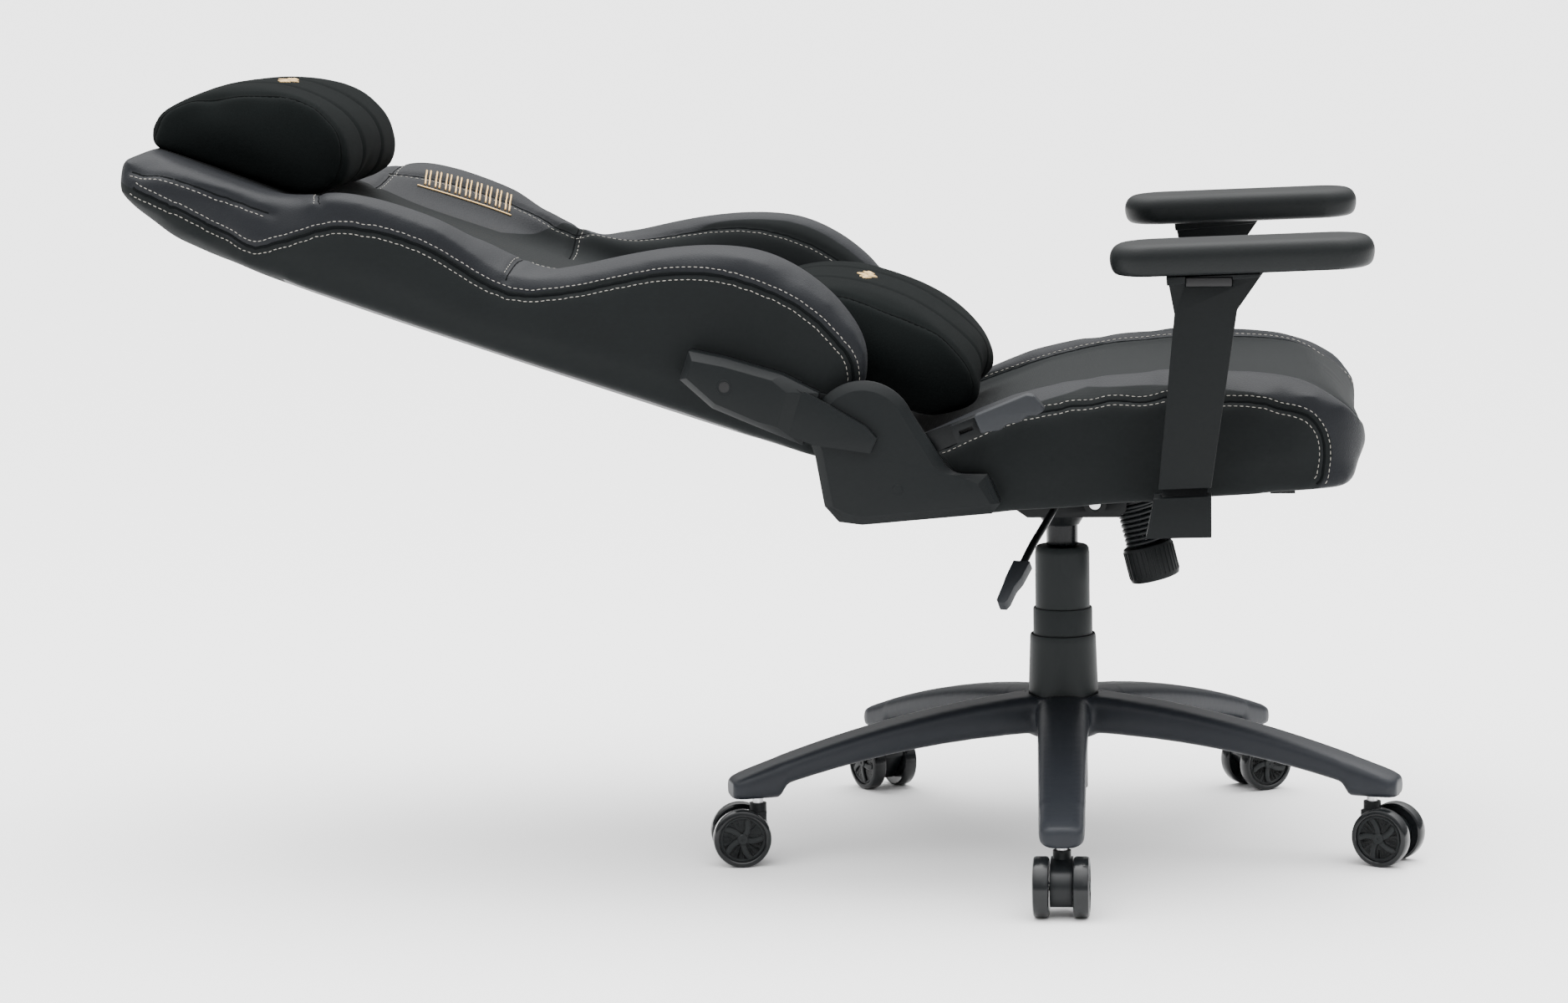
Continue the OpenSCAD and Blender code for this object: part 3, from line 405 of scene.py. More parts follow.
def stuffed(name, source, settings, hold, before=None):
    holder = bpy.data.objects.new(name, source)
    bpy.context.scene.collection.objects.link(holder)
    bpy.context.view_layer.objects.active = holder
    remesh = holder.modifiers.new("remesh", "REMESH")
    remesh.mode, remesh.voxel_size = "VOXEL", settings["voxel"]
    bpy.ops.object.modifier_apply(modifier="remesh")
    bm = bmesh.new()
    bm.from_mesh(holder.data)
    if before:
        before(bm)
    relax(bm, bm.verts, settings["soften"])
    bm.normal_update()
    inward = [(v, v.normal * settings["shrink"] * (1.0 - hold(v.co))) for v in bm.verts]
    for v, step in inward:
        v.co -= step
    bm.to_mesh(holder.data)
    bm.free()
    start = [v.co.copy() for v in holder.data.vertices]
    cloth = holder.modifiers.new("cloth", "CLOTH")
    cloth.settings.quality = 4
    cloth.settings.use_pressure = True
    cloth.settings.uniform_pressure_force = settings["pressure"]
    cloth.settings.effector_weights.gravity = 0.0
    cloth.settings.tension_stiffness = settings["stiff"]
    cloth.settings.compression_stiffness = settings["stiff"]
    cloth.collision_settings.use_collision = False
    for step in range(1, settings["frames"] + 1):
        bpy.context.scene.frame_set(step)
    blown = holder.evaluated_get(bpy.context.evaluated_depsgraph_get()).data
    moved = [v.co.copy() for v in blown.vertices]
    holder.modifiers.clear()
    bpy.context.scene.frame_set(1)
    for v, a, b in zip(holder.data.vertices, start, moved):
        step = (b - a) * (1.0 - hold(a))
        v.co = a + (step if step.length <= settings["cap"] else step.normalized() * settings["cap"])
    bm = bmesh.new()
    bm.from_mesh(holder.data)
    relax(bm, bm.verts, settings["settle"])
    bmesh.ops.recalc_face_normals(bm, faces=bm.faces)
    bm.to_mesh(holder.data)
    bm.free()
    return holder


def subdivided(piece):
    bpy.context.view_layer.objects.active = piece
    finer = piece.modifiers.new("finer", "SUBSURF")
    finer.levels = finer.render_levels = 1
    bpy.ops.object.modifier_apply(modifier="finer")
    piece.data.shade_smooth()
    return piece


def skinOf(piece):
    bm = bmesh.new()
    bm.from_mesh(piece.data)
    tree = BVHTree.FromBMesh(bm)
    bm.free()
    return tree


def laidOn(tree, points):  # points pulled onto a surface, with the surface's normal at each
    found = [tree.find_nearest(p) for p in points]
    return [(f[0], f[1]) for f in found]


def pressSeam(piece, lines, depth, width):  # pulls a surface in along its seams
    from mathutils.kdtree import KDTree
    points = [p for line in lines for p in line]
    tree = KDTree(len(points))
    for i, p in enumerate(points):
        tree.insert(p, i)
    tree.balance()
    normals = [v.normal.copy() for v in piece.data.vertices]
    for v, normal in zip(piece.data.vertices, normals):
        away = tree.find(v.co)[2]
        if away < 3 * width:
            v.co -= normal * depth * math.exp(-(away / width) ** 2)


def carry(piece, name, value):
    stored = piece.data.attributes.new(name, "FLOAT", "POINT")
    stored.data.foreach_set("value", [value(v.co) for v in piece.data.vertices])


def beside(laid, offset):  # a line beside another on a surface
    out = []
    for i, (at, normal) in enumerate(laid):
        ahead = laid[min(i + 1, len(laid) - 1)][0] - laid[max(i - 1, 0)][0]
        out.append(at + ahead.cross(normal).normalized() * offset)
    return out


def stitches(tree, points, stitch):
    dots = laidOn(tree, spaced(points, stitch["pitch"]))
    bm = bmesh.new()
    for i, (at, normal) in enumerate(dots[:-1]):
        run = dots[i + 1][0] - at
        if run.length < 1e-6:
            continue
        along = run.normalized()
        across = normal.cross(along).normalized()
        turn = Matrix((along, across, along.cross(across))).transposed().to_4x4()
        size = Matrix.Diagonal((stitch["length"] / 2, stitch["thick"] / 2, stitch["thick"] / 2, 1.0))
        middle = Matrix.Translation(at + along * stitch["length"] / 2 + normal * stitch["lift"])
        bmesh.ops.create_uvsphere(bm, u_segments=6, v_segments=4, radius=1.0,
                                  matrix=middle @ turn @ size @ Matrix.Rotation(math.pi / 2, 4, "Y"))
    return bm


# the welt cords lie sunk in the pressed seams, and their darker colour is painted seam shade
def softWelt(tree, points, radius, sink, pitch=0.006):
    laid = laidOn(tree, spaced(points, pitch))
    return tube([at - normal * sink for at, normal in laid], radius)


doubleStitch = {"pitch": 0.0060, "length": 0.0040, "thick": 0.0007, "lift": 0.0002}


# seat cushion

seat = {
    "voxel": 0.006, "soften": 3, "shrink": 0.006, "pressure": 4.0, "stiff": 12.0, "frames": 14, "cap": 0.011,
    "settle": 9, "half": 260.0, "floor": 412.0,
    "seam": [(-205, 425), (-160, 440), (-88, 474), (35, 507), (117, 510), (198, 503), (240, 490), (262, 478),
             (273, 458), (275, 440), (268, 420), (258, 402)],
    "run": [(-170, 450), (-60, 485), (60, 515), (200, 515), (275, 508), (312, 480), (322, 448), (312, 425)],
    "insert": 184.0, "rows": 0.0062, "welt": 0.0016,
}


def seatHold(point):  # the underside and the well over the frame stay flat
    rise = (point.z * 1000.0 - seat["floor"]) / 12.0
    return 1.0 - max(0.0, min(1.0, rise))


seatPiece = stuffed("seatCushion", cad["seat_cushion"].data.copy(), seat, seatHold)
seatTree = skinOf(seatPiece)
seatSeams = []
for side in (-1, 1):
    run = rounded([mm(x, side * (seat["half"] + 6), z) for x, z in seat["seam"]])
    seatSeams.append([at for at, _ in laidOn(seatTree, spaced(run, 0.004))])
seatRuns = []
for side in (-1, 1):  # the seams beside the middle panel
    run = [mm(x, side * seat["insert"], z) for x, z in seat["run"]]
    seatRuns.append([at for at, _ in laidOn(seatTree, spaced(rounded(run), 0.004))])
subdivided(seatPiece)
pressSeam(seatPiece, seatSeams + seatRuns, 0.0020, 0.0048)
carry(seatPiece, "hidePart", lambda p: min(sideOf(seat["seam"], p.x * 1000.0, p.z * 1000.0),
                                           abs(p.y * 1000.0) - seat["insert"]) / 1000.0)
seatPiece.data.materials.clear()
seatPiece.data.materials.append(finish["cushion"])
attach(seatPiece, "seat")
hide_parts("seat_cushion")
seatTree = skinOf(seatPiece)
weltMesh, rowMesh = bmesh.new(), bmesh.new()
for side, line in zip((-1, 1), seatSeams):
    join(weltMesh, softWelt(seatTree, line, seat["welt"], 0.0006))
    laid = laidOn(seatTree, spaced(line, 0.006))
    for offset in (-seat["rows"], seat["rows"]):
        join(rowMesh, stitches(seatTree, beside(laid, offset), doubleStitch))
for line in seatRuns:
    join(weltMesh, softWelt(seatTree, line, 0.0014, 0.0008))
    laid = laidOn(seatTree, spaced(line, 0.006))
    side = 1.0 if line[0].y > 0 else -1.0
    join(rowMesh, stitches(seatTree, [at + Vector((0, side * 0.006, 0)) for at, _ in laid], doubleStitch))
place(weltMesh, "seatWelts", "seat", "welt", "faux_leather", smooth=180)
place(rowMesh, "seatStitching", "seat", "thread", "thread", smooth=180)
print("seat cushion", len(seatPiece.data.polygons))


# back cushion

back = {
    "voxel": 0.006, "soften": 3, "shrink": 0.005, "pressure": 4.0, "stiff": 12.0, "frames": 14, "cap": 0.010,
    "settle": 9, "valley": 30, "half": 260.0,
    "seam": [(796, -4), (730, -11), (690, -18), (654, -23), (634, -19), (618, -5), (606, 4), (585, 20),
             (566, 28), (540, 34), (507, 38), (463, 36), (425, 27), (387, 19), (363, 23), (325, 41),
             (280, 67), (235, 88),
             (195, 100), (152, 102), (107, 97), (80, 88), (57, 76), (38, 64), (25, 50), (18, 30), (14, 0)],
    "inner": [(600, 34), (560, 48), (500, 50), (440, 44), (400, 30), (366, 36), (320, 52), (275, 74),
              (230, 94),
              (190, 104), (148, 106), (112, 100), (73, 86)],
    "rows": 0.0064, "welt": 0.0017, "headRow": 16.0, "headOut": 12.0,
    "foot": [(14, -60), (14, 0), (18, 30), (25, 50), (38, 64), (57, 76), (80, 88)],
}


def shapeBack(bm):  # the head is drawn out a little, and the wings flow down into the middle of the back
    for v in bm.verts:
        s, t = backPlace(v.co)
        k = max(0.0, min(1.0, (s - 640.0) / 160.0))
        v.co = onBack(s + back["headOut"] * k, t + (3.0 * k if t > 0 else 0.0), v.co.y * 1000.0)
    inner = []
    for v in bm.verts:
        s, t = backPlace(v.co)
        if t > 4 and 140 < abs(v.co.y * 1000.0) < 236 and 0 < s < 800:
            inner.append(v)
    shoulder = [v for v in bm.verts if 425 < backPlace(v.co)[0] < 615 and backPlace(v.co)[1] > 4
                and 90 < abs(v.co.y * 1000.0) < 236]
    relax(bm, inner, back["valley"])
    relax(bm, shoulder, 3 * back["valley"])


def backHold(point):
    s, t = backPlace(point)
    edge = max(0.0, min(1.0, (-t - 30.0) / 10.0))
    return 0.6 * edge


backPiece = stuffed("backCushion", cad["back_cushion"].data.copy(), back, backHold, shapeBack)
backTree = skinOf(backPiece)


def halfAt(s):  # half the back's width
    if s <= 590:
        return 260.0
    return 260.0 - 6.0 * (s - 590) / 60.0 if s < 650 else max(240.0, 254.0 - 14.0 * (s - 650) / 40.0)


backSeams, innerSeams = [], []
for side in (-1, 1):
    run = rounded([onBack(s, t, side * (halfAt(s) + 8)) for s, t in back["seam"]])
    backSeams.append([at for at, _ in laidOn(backTree, spaced(run, 0.004))])
    run = rounded([onBack(s, t, side * 196) for s, t in back["inner"]])
    innerSeams.append([at for at, _ in laidOn(backTree, spaced(run, 0.004))])
    run = rounded([onBack(s, 16, side * (halfAt(s) - back["headRow"])) for s in range(790, 611, -20)])
    innerSeams.append([at for at, _ in laidOn(backTree, spaced(run, 0.004))])
shoulderSeams = []
for side in (-1, 1):
    for path in ([(604, 20, 150), (600, 34, 185), (597, 44, 215), (592, 40, 262)],
                 [(380, 18, 150), (384, 30, 190), (388, 42, 225), (388, 24, 262)]):
        run = rounded([onBack(s, t + 6, side * y) for s, t, y in path])
        shoulderSeams.append([at for at, _ in laidOn(backTree, spaced(run, 0.004))])
subdivided(backPiece)
pressSeam(backPiece, backSeams + innerSeams + shoulderSeams, 0.0022, 0.0048)


def hideOnBack(point):  # hide on the band along each wing and on the head, cloth elsewhere
    s, t = backPlace(point)
    y = abs(point.y * 1000.0)
    band = t - heightAt(back["seam"], s)
    if s < 60:
        band = sideOf(back["foot"], s, t)
    if s > 604:
        return min(band, y - 150.0) / 1000.0
    if y > 238:
        return band / 1000.0
    reach = 196.0 - 46.0 * max(0.0, min(1.0, (s - 400) / 60.0))  # the shoulder panels come further in
    return (y - reach) / 1000.0


carry(backPiece, "hidePart", hideOnBack)
backPiece.data.materials.clear()
backPiece.data.materials.append(finish["cushion"])
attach(backPiece, "back")
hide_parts("back_cushion")
backTree = skinOf(backPiece)
weltMesh, rowMesh = bmesh.new(), bmesh.new()
for line in backSeams:
    join(weltMesh, softWelt(backTree, line, back["welt"], 0.0006))
    laid = laidOn(backTree, spaced(line, 0.006))
    for offset in (-back["rows"], back["rows"]):
        join(rowMesh, stitches(backTree, beside(laid, offset), doubleStitch))
for line in innerSeams + shoulderSeams:
    join(weltMesh, softWelt(backTree, line, 0.0013, 0.0009))
    laid = laidOn(backTree, spaced(line, 0.006))
    join(rowMesh, stitches(backTree, beside(laid, 0.005), doubleStitch))
place(weltMesh, "backWelts", "back", "welt", "faux_leather", smooth=180)
place(rowMesh, "backStitching", "back", "thread", "thread", smooth=180)
print("back cushion", len(backPiece.data.polygons))


# pillows

lumbar = {
    "voxel": 0.006, "soften": 2, "shrink": 0.005, "pressure": 4.0, "stiff": 20.0, "frames": 12, "cap": 0.014,
    "settle": 10, "half": 172.0, "rings": (158.0, 60.0), "middle": (30, 60), "spread": (150, 60), "low": 14,
    "rise": 1.0,
}
head = {
    "voxel": 0.0055, "soften": 2, "shrink": 0.004, "pressure": 4.0, "stiff": 20.0, "frames": 12, "cap": 0.013,
    "settle": 10, "half": 152.0, "rings": (139.0, 50.0), "middle": (695, 70), "spread": (125, 55), "low": 28,
    "rise": 1.09,
}


def pillow(name, node, body, settings):
    def bottom(point):  # flat where it lies on the back
        return max(0.0, min(0.8, 1.0 - (backPlace(point)[1] - settings["low"]) / 14.0))

    def plump(bm):  # fuller towards the sitter
        for v in bm.verts:
            s, t = backPlace(v.co)
            v.co = onBack(s, settings["low"] + (t - settings["low"]) * settings["rise"], v.co.y * 1000.0)

    piece = stuffed(name, cad[node].data.copy(), settings, bottom, plump)
    tree = skinOf(piece)
    rings = []
    for y in [side * way for side in settings["rings"] for way in (-1, 1)]:
        centre, ring = onBack(*settings["middle"], y), []
        for i in range(96):
            a = math.tau * i / 96
            start = onBack(settings["middle"][0] + settings["spread"][0] * 1.25 * math.cos(a),
                           settings["middle"][1] + settings["spread"][1] * 1.4 * math.sin(a), y)
            hit = tree.ray_cast(start, (centre - start).normalized())[0]
            if hit is not None:
                ring.append(hit)
        rings.append(ring + [ring[0]])
    subdivided(piece)
    pressSeam(piece, rings, 0.0024, 0.006)
    piece.data.materials.clear()
    piece.data.materials.append(finish["velour"])
    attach(piece, body)
    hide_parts(node)
    tree = skinOf(piece)
    # piping cords sunk in the pressed rings; their darker velour is painted seam shade
    cords = bmesh.new()
    for ring in rings:
        laid = laidOn(tree, spaced(ring, 0.006))
        join(cords, tube([at - normal * 0.0009 for at, normal in laid[:-1]], 0.0017, closed=True))
    place(cords, name + "Piping", body, "cordedEdge", "velour", smooth=180)
    print(name, len(piece.data.polygons))
    return tree


lumbarTree = pillow("lumbarPillow", "lumbar_pillow", "lumbar_pillow", lumbar)
headTree = pillow("headPillow", "head_pillow", "head_pillow", head)


# gold embroidery: a plain crest on each pillow and a bar of slanted strokes on the shoulders

crest = {"across": 34.0, "along": 20.0, "thick": 0.0011}


def crestLines(s, y, t):
    lines = []
    for grow in (1.0, 0.72, 0.44):  # nested lozenges
        a, b = crest["across"] / 2 * grow, crest["along"] / 2 * grow
        corners = [(0, a), (b, 0), (0, -a), (-b, 0), (0, a)]
        lines.append([onBack(s + u, t, y + v) for u, v in corners])
    for side in (-1, 1):  # three strokes out to each side
        for k in range(3):
            v = side * (crest["across"] / 2 + 4 + 5 * k)
            lines.append([onBack(s - 6 + 2 * k, t, y + v), onBack(s + 6 - 2 * k, t, y + v + side * 4)])
    return lines


def dropTo(tree, lines, lift=60.0):  # drops lines straight down onto the sitter's side of a piece
    out = []
    for line in lines:
        dropped = []
        for p in spaced(line, 0.0018):
            hit = tree.ray_cast(p + outBack * lift / 1000.0, -outBack)
            if hit[0] is not None:
                dropped.append(hit[0] + hit[1] * 0.0003)
        out.append(dropped)
    return out


def embroider(name, tree, body, lines):
    bm = bmesh.new()
    for line in dropTo(tree, lines):
        if len(line) > 1:
            join(bm, tube(line, crest["thick"], 6))
    place(bm, name, body, "gold", "gold_thread", smooth=180)


embroider("headCrest", headTree, "head_pillow", crestLines(700, 0, 130))
embroider("lumbarCrest", lumbarTree, "lumbar_pillow", crestLines(60, 0, 130))
strokes = []
for k in range(9):
    s = 462 + 11.5 * k
    for shift in (0, 4.5):
        strokes.append([onBack(s + shift, 60, 184), onBack(s + shift + 6, 60, 206)])
strokes.append([onBack(458, 60, 181), onBack(566, 60, 181)])
embroider("shoulderBar", backTree, "back", strokes)
print("embroidery")


# star base

star = {"legs": 5, "yaw": 1.7, "root": 39.0, "rootTop": 161.0, "rootLow": 119.0, "tip": 361.0, "foot": 69.0,
        "footAt": 310.0, "wide": 27.5, "narrow": 22.5, "hub": (38.0, 114.0, 158.0), "voxel": 0.0026,
        "melt": 12, "bore": (25.1, 158.0)}


def legTop(x):
    d = max(0.0, x - star["root"])
    return star["rootTop"] - 0.08 * d - d * d / 2300.0


def legLow(x):
    d = max(0.0, x - star["root"] - 18)
    low = star["rootLow"] - 0.02 * (x - star["root"]) - d * d / 1980.0
    return star["foot"] if x > star["footAt"] else low


def ovalLoop(bm, x, half, low, high, power=3.6, steps=28):
    points = []
    for i in range(steps):
        c, s = math.cos(math.tau * i / steps), math.sin(math.tau * i / steps)
        y = half * math.copysign(abs(c) ** (2 / power), c)
        z = (low + high) / 2 + (high - low) / 2 * math.copysign(abs(s) ** (2 / power), s)
        points.append(bm.verts.new(mm(x, y, z)))
    return [bm.edges.new((a, b)) for a, b in zip(points, points[1:] + points[:1])]


def legShape():
    bm = bmesh.new()
    runs = [18, 45, 75, 105, 135, 165, 195, 225, 250, 275, 292, 304, 312, 320, 335, 346, 353, 358, 360.5, 361]
    loops = []
    for x in runs:
        k = (x - runs[0]) / (runs[-1] - runs[0])
        half = star["wide"] + (star["narrow"] - star["wide"]) * k
        pinch = 1.0 - math.sqrt(max(0.0, 1.0 - max(0.0, (x - 346) / 15.0) ** 2))  # the rounded toe
        low, high = legLow(x), legTop(min(x, 352))
        loops.append(ovalLoop(bm, x, half * (1 - 0.42 * pinch), low + 1.5 * pinch, high - 7 * pinch))
    for a, b in zip(loops, loops[1:]):
        bmesh.ops.bridge_loops(bm, edges=a + b)
    bmesh.ops.contextual_create(bm, geom=loops[0])
    bmesh.ops.contextual_create(bm, geom=loops[-1])
    return closeUp(bm)


def melted(bm, voxel, times, near=None):  # one skin over overlapping shapes, its inner corners smoothed
    mesh = bpy.data.meshes.new("spare")
    bm.to_mesh(mesh)
    bm.free()
    holder = bpy.data.objects.new("spare", mesh)
    bpy.context.scene.collection.objects.link(holder)
    bpy.context.view_layer.objects.active = holder
    remesh = holder.modifiers.new("remesh", "REMESH")
    remesh.mode, remesh.voxel_size = "VOXEL", voxel
    bpy.ops.object.modifier_apply(modifier="remesh")
    out = bmesh.new()
    out.from_mesh(holder.data)
    bpy.data.objects.remove(holder)
    corner = [v for v in out.verts if near is None or near(v.co)]
    relax(out, out.verts, 3)
    relax(out, corner, times)
    return out


def cutAway(piece, cutter):  # takes one closed shape out of a piece
    mesh = bpy.data.meshes.new("cutter")
    cutter.to_mesh(mesh)
    cutter.free()
    tool = bpy.data.objects.new("cutter", mesh)
    bpy.context.scene.collection.objects.link(tool)
    bpy.context.view_layer.objects.active = piece
    cut = piece.modifiers.new("cut", "BOOLEAN")
    cut.operation, cut.solver, cut.object = "DIFFERENCE", "EXACT", tool
    bpy.ops.object.modifier_apply(modifier="cut")
    bpy.data.objects.remove(tool)


casting = bmesh.new()
for k in range(star["legs"]):
    join(casting, legShape(), Matrix.Rotation(math.radians(star["yaw"] - 90 + 72 * k), 4, "Z"))
r, low, high = star["hub"]
join(casting, lathe([(0, low), (r - 3, low), (r, low + 3), (r, high - 2), (r - 1.5, high), (0, high)], 96))
casting = melted(casting, star["voxel"], star["melt"],
                 lambda at: 0.033 < math.hypot(at.x, at.y) < 0.075 and at.z < 0.157)
starPiece = place(casting, "starBase", "base", "base", "base_plastic", ["star_base"], 60)
bore, top = star["bore"]
cutAway(starPiece, lathe([(0, 90), (bore, 90), (bore, top), (r + 2.5, top), (r + 2.5, top + 20),
                          (0, top + 20)], 96))
shadeByAngle(starPiece.data, 60)
print("star base", len(starPiece.data.polygons))


# casters

caster = {"wheelWidth": 16.0, "radius": 30.0, "spokes": 5}


def wheelDisc():
    r, w = caster["radius"], caster["wheelWidth"]
    rim = lathe([(0, 0.5), (r - 5, 0.5), (r - 2.6, 0), (r - 0.9, 0.9), (r, 3), (r, w - 3.5),
                 (r - 0.8, w - 1.2), (r - 2.4, w - 0.2), (r - 4.6, w), (r - 5.6, w - 0.7),
                 (r - 6.2, w - 2.6), (0, w - 2.6)], 72)
    disc = lathe([(0, -1), (r - 6.4, -1), (r - 6.4, -0.3), (r - 7.2, 0.5), (r - 8.6, 0.5),
                  (r - 9.2, -0.2), (0, -0.2)], 60)
    for k in range(caster["spokes"]):  # curved ribs from the hub to the rim
        blade = bmesh.new()
        edge = [(3.5, -3.4), (9, -3.0), (15, -1.6), (20.6, 1.6), (21.4, 5.6), (19.0, 7.2), (14.0, 4.0),
                (8.5, 2.4), (3.5, 2.6)]
        face = blade.faces.new([blade.verts.new(mm(x, y, -0.6)) for x, y in edge])
        grown = bmesh.ops.extrude_face_region(blade, geom=[face])["geom"]
        bmesh.ops.translate(blade, vec=mm(0, 0, 2.2),
                            verts=[v for v in grown if isinstance(v, bmesh.types.BMVert)])
        closeUp(blade)
        bevelSharp(blade, 0.0006, 2, 40)
        join(disc, blade, Matrix.Rotation(math.tau * k / caster["spokes"], 4, "Z"))
    join(disc, lathe([(0, -1), (5.6, -1), (5.6, 2.0), (4.8, 2.6), (1.6, 2.6), (1.2, 2.0), (0, 2.0)], 32))
    return rim, disc


for k in range(1, 6):
    moulded(f"casterBody{k}", f"caster_{k}_body", f"caster_{k}", "caster", "caster_plastic", 1.6, 2)
    moulded(f"casterPins{k}", f"caster_{k}_pins", f"caster_{k}", "steel", "pin_steel", 0.5, 2)
    roll = jointNamed[f"wheels_{k}_roll"]
    axis, middle = Vector(roll["axis"]).normalized(), Vector(roll["pos_m"])
    rims, discs = bmesh.new(), bmesh.new()
    for way in (-1, 1):
        rim, disc = wheelDisc()
        turn = Matrix.Translation(middle + axis * way * 0.0118) @ standOn(axis * way)
        join(rims, rim, turn)
        join(discs, disc, turn @ Matrix.Translation(mm(0, 0, caster["wheelWidth"] - 2.4)))
    for mesh in (rims, discs):
        bmesh.ops.recalc_face_normals(mesh, faces=mesh.faces)
    place(rims, f"casterRims{k}", f"wheels_{k}", "rim", "wheel_plastic", [f"caster_{k}_wheels"])
    place(discs, f"casterDiscs{k}", f"wheels_{k}", "disc", "wheel_plastic")
print("base and casters")


# gas lift and its telescopic covers

liftCovers = {
    "lower": [(36.5, 158), (36.5, 160), (34.7, 214), (34.5, 219.5), (33.8, 221.6), (32.5, 222), (32.5, 158),
              (36.5, 158)],
    "middle": [(31, 190), (31, 248), (30.3, 249.7), (29, 250), (29, 190), (31, 190)],
    "upper": [(28.5, 220), (28.5, 307), (27.8, 312), (26, 314.6), (23, 315), (14.05, 315), (14.05, 313),
              (26.5, 313), (26.5, 220), (28.5, 220)],
}
# the three lift covers take the lighter copy of the cover plastic: painted light on the column
for word, body in (("lower", "base"), ("middle", "middle_cover"), ("upper", "lift")):
    place(lathe(liftCovers[word], 72), f"{word}Cover", body, "column", "cover_plastic", [f"{word}_cover"])
moulded("gasCylinder", "gas_cylinder", "lift", "gloss", "gas_cylinder_black", 0.6, 2)
moulded("columnTube", "column_tube", "base", "gloss", "gas_cylinder_black", 0.5, 2)
print("gas lift")


# tilt mechanism

moulded("mechanismHousing", "mechanism_housing", "lift", "coated", "black_steel", 1.0, 2)
moulded("seatPlate", "seat_plate", "seat", "coated", "black_steel", 0.8, 2)
moulded("seatBolts", "seat_bolts", "seat", "steel", "pin_steel", 0.6, 2)
moulded("tiltPin", "tilt_pin", "lift", "steel", "pin_steel", 0.8, 2)
moulded("leverBush", "lever_bush", "lever_pivot", "bush", "bush_plastic", 0.4, 2)

spring = {"turns": 9, "radius": 19.5, "wire": 2.5, "foot": (88.3, 316.6), "tilt": 13.9, "length": 46.0}
onBolt = Matrix.Translation(mm(spring["foot"][0], 0, spring["foot"][1])) @ Matrix.Rotation(
    -math.radians(spring["tilt"]), 4, "Y")
coil = []
for i in range(spring["turns"] * 28 + 1):
    turn = i / 28
    rise = 3.0 + (spring["length"] - 6.2) * max(0.0, min(1.0, (turn - 0.6) / (spring["turns"] - 1.2)))
    a = math.tau * turn
    coil.append(onBolt @ mm(spring["radius"] * math.cos(a), spring["radius"] * math.sin(a), rise))
springPiece = place(tube(coil, spring["wire"] / 1000.0, 10), "tensionSpring", "seat", "wire", "black_steel",
                    ["tension_spring"], 180)
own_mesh(springPiece)

knob = {"ribs": 30, "ribAt": 25.9, "ribWide": 0.0018, "ribLong": 0.0290}
knobShape = lathe([(0, 0), (23, 0), (25.4, -1.2), (26.0, -3.2), (26.2, -34), (25.2, -37), (22.6, -38),
                   (0, -38)], 60)
for k in range(knob["ribs"]):
    rib = bmesh.new()
    ribSize = Matrix.Diagonal((knob["ribWide"], knob["ribWide"], knob["ribLong"], 1.0))
    bmesh.ops.create_cube(rib, size=1.0, matrix=Matrix.Translation(mm(knob["ribAt"], 0, -18.6)) @ ribSize)
    bmesh.ops.bevel(rib, geom=list(rib.edges), offset=0.0005, offset_type="OFFSET", segments=2, profile=0.5,
                    affect="EDGES", clamp_overlap=True, material=-1)
    join(knobShape, rib, Matrix.Rotation(math.tau * k / knob["ribs"], 4, "Z"))
bmesh.ops.transform(knobShape, matrix=onBolt, verts=knobShape.verts)
place(knobShape, "tensionKnob", "tension_knob", "knob", "lever_plastic", ["tension_knob"])

leverLine = rounded([mm(0, 8, 372.3), mm(0, -56, 372.3), mm(-12, -150, 357), mm(-22, -194, 345),
                     mm(-34, -224, 322)], 3)
place(tube(leverLine, 0.0039, 14), "heightLever", "height_lever", "coated", "black_steel",
      ["height_lever"], 180)
moulded("heightLeverGrip", "height_lever_grip", "height_lever", "lever", "lever_plastic", 1.5, 3)
print("tilt mechanism")


# seat frame, recliner and side covers

moulded("seatFrame", "seat_frame", "seat", "coated", "black_steel", 1.5, 2)
moulded("reclinerPlates", "recliner_plates", "seat", "coated", "black_steel", 0.6, 2)
moulded("hingePins", "hinge_pins", "seat", "steel", "pin_steel", 0.8, 2)
moulded("backArms", "back_arms", "back", "coated", "black_steel", 0.6, 2)
moulded("reclineLever", "recline_lever", "recline_lever", "coated", "black_steel", 0.6, 2)
moulded("reclineLeverGrip", "recline_lever_grip", "recline_lever", "lever", "lever_plastic", 2.2, 3)

cover = {"face": 284.0, "band": 9.0, "depth": 6.0, "edge": 1.1, "centre": (-184.0, 468.0), "radius": 52.0,
         "plug": (-150.0, 413.0, 5.0)}


def ring(cx, cz, r, first, last, steps):
    return [(cx + r * math.cos(math.radians(first + (last - first) * i / steps)),
             cz + r * math.sin(math.radians(first + (last - first) * i / steps))) for i in range(steps + 1)]


def coverOutline(inset):
    cx, cz = cover["centre"]
    return (ring(cx, cz, cover["radius"] - inset, 25, 203, 40)
            + [(-223 + inset, 396), (-209 + inset, 380 + inset), (-186, 377 + inset),
               (-58 - inset, 388 + inset), (-50 - inset, 398), (-62 - inset, 427 - inset)]
            + ring(-84 - inset, 452 + inset / 2, 25 + inset / 2, -88, -138, 8))


def banded(outer, inner, outerY, innerY, deep):  # a plate whose rim slopes from its outline up to its face
    bm = bmesh.new()
    rings = []
    for outline, y in ((outer, deep), (outer, outerY), (inner, innerY)):
        points = [bm.verts.new(mm(x, y, z)) for x, z in outline]
        rings.append([bm.edges.new((a, b)) for a, b in zip(points, points[1:] + points[:1])])
    for a, b in zip(rings, rings[1:]):
        bmesh.ops.bridge_loops(bm, edges=a + b)
    bmesh.ops.contextual_create(bm, geom=rings[0])
    bmesh.ops.contextual_create(bm, geom=rings[-1])
    return closeUp(bm)


def mirrored(bm):
    bmesh.ops.scale(bm, vec=(1, -1, 1), verts=bm.verts)
    bmesh.ops.reverse_faces(bm, faces=bm.faces)
    return bm


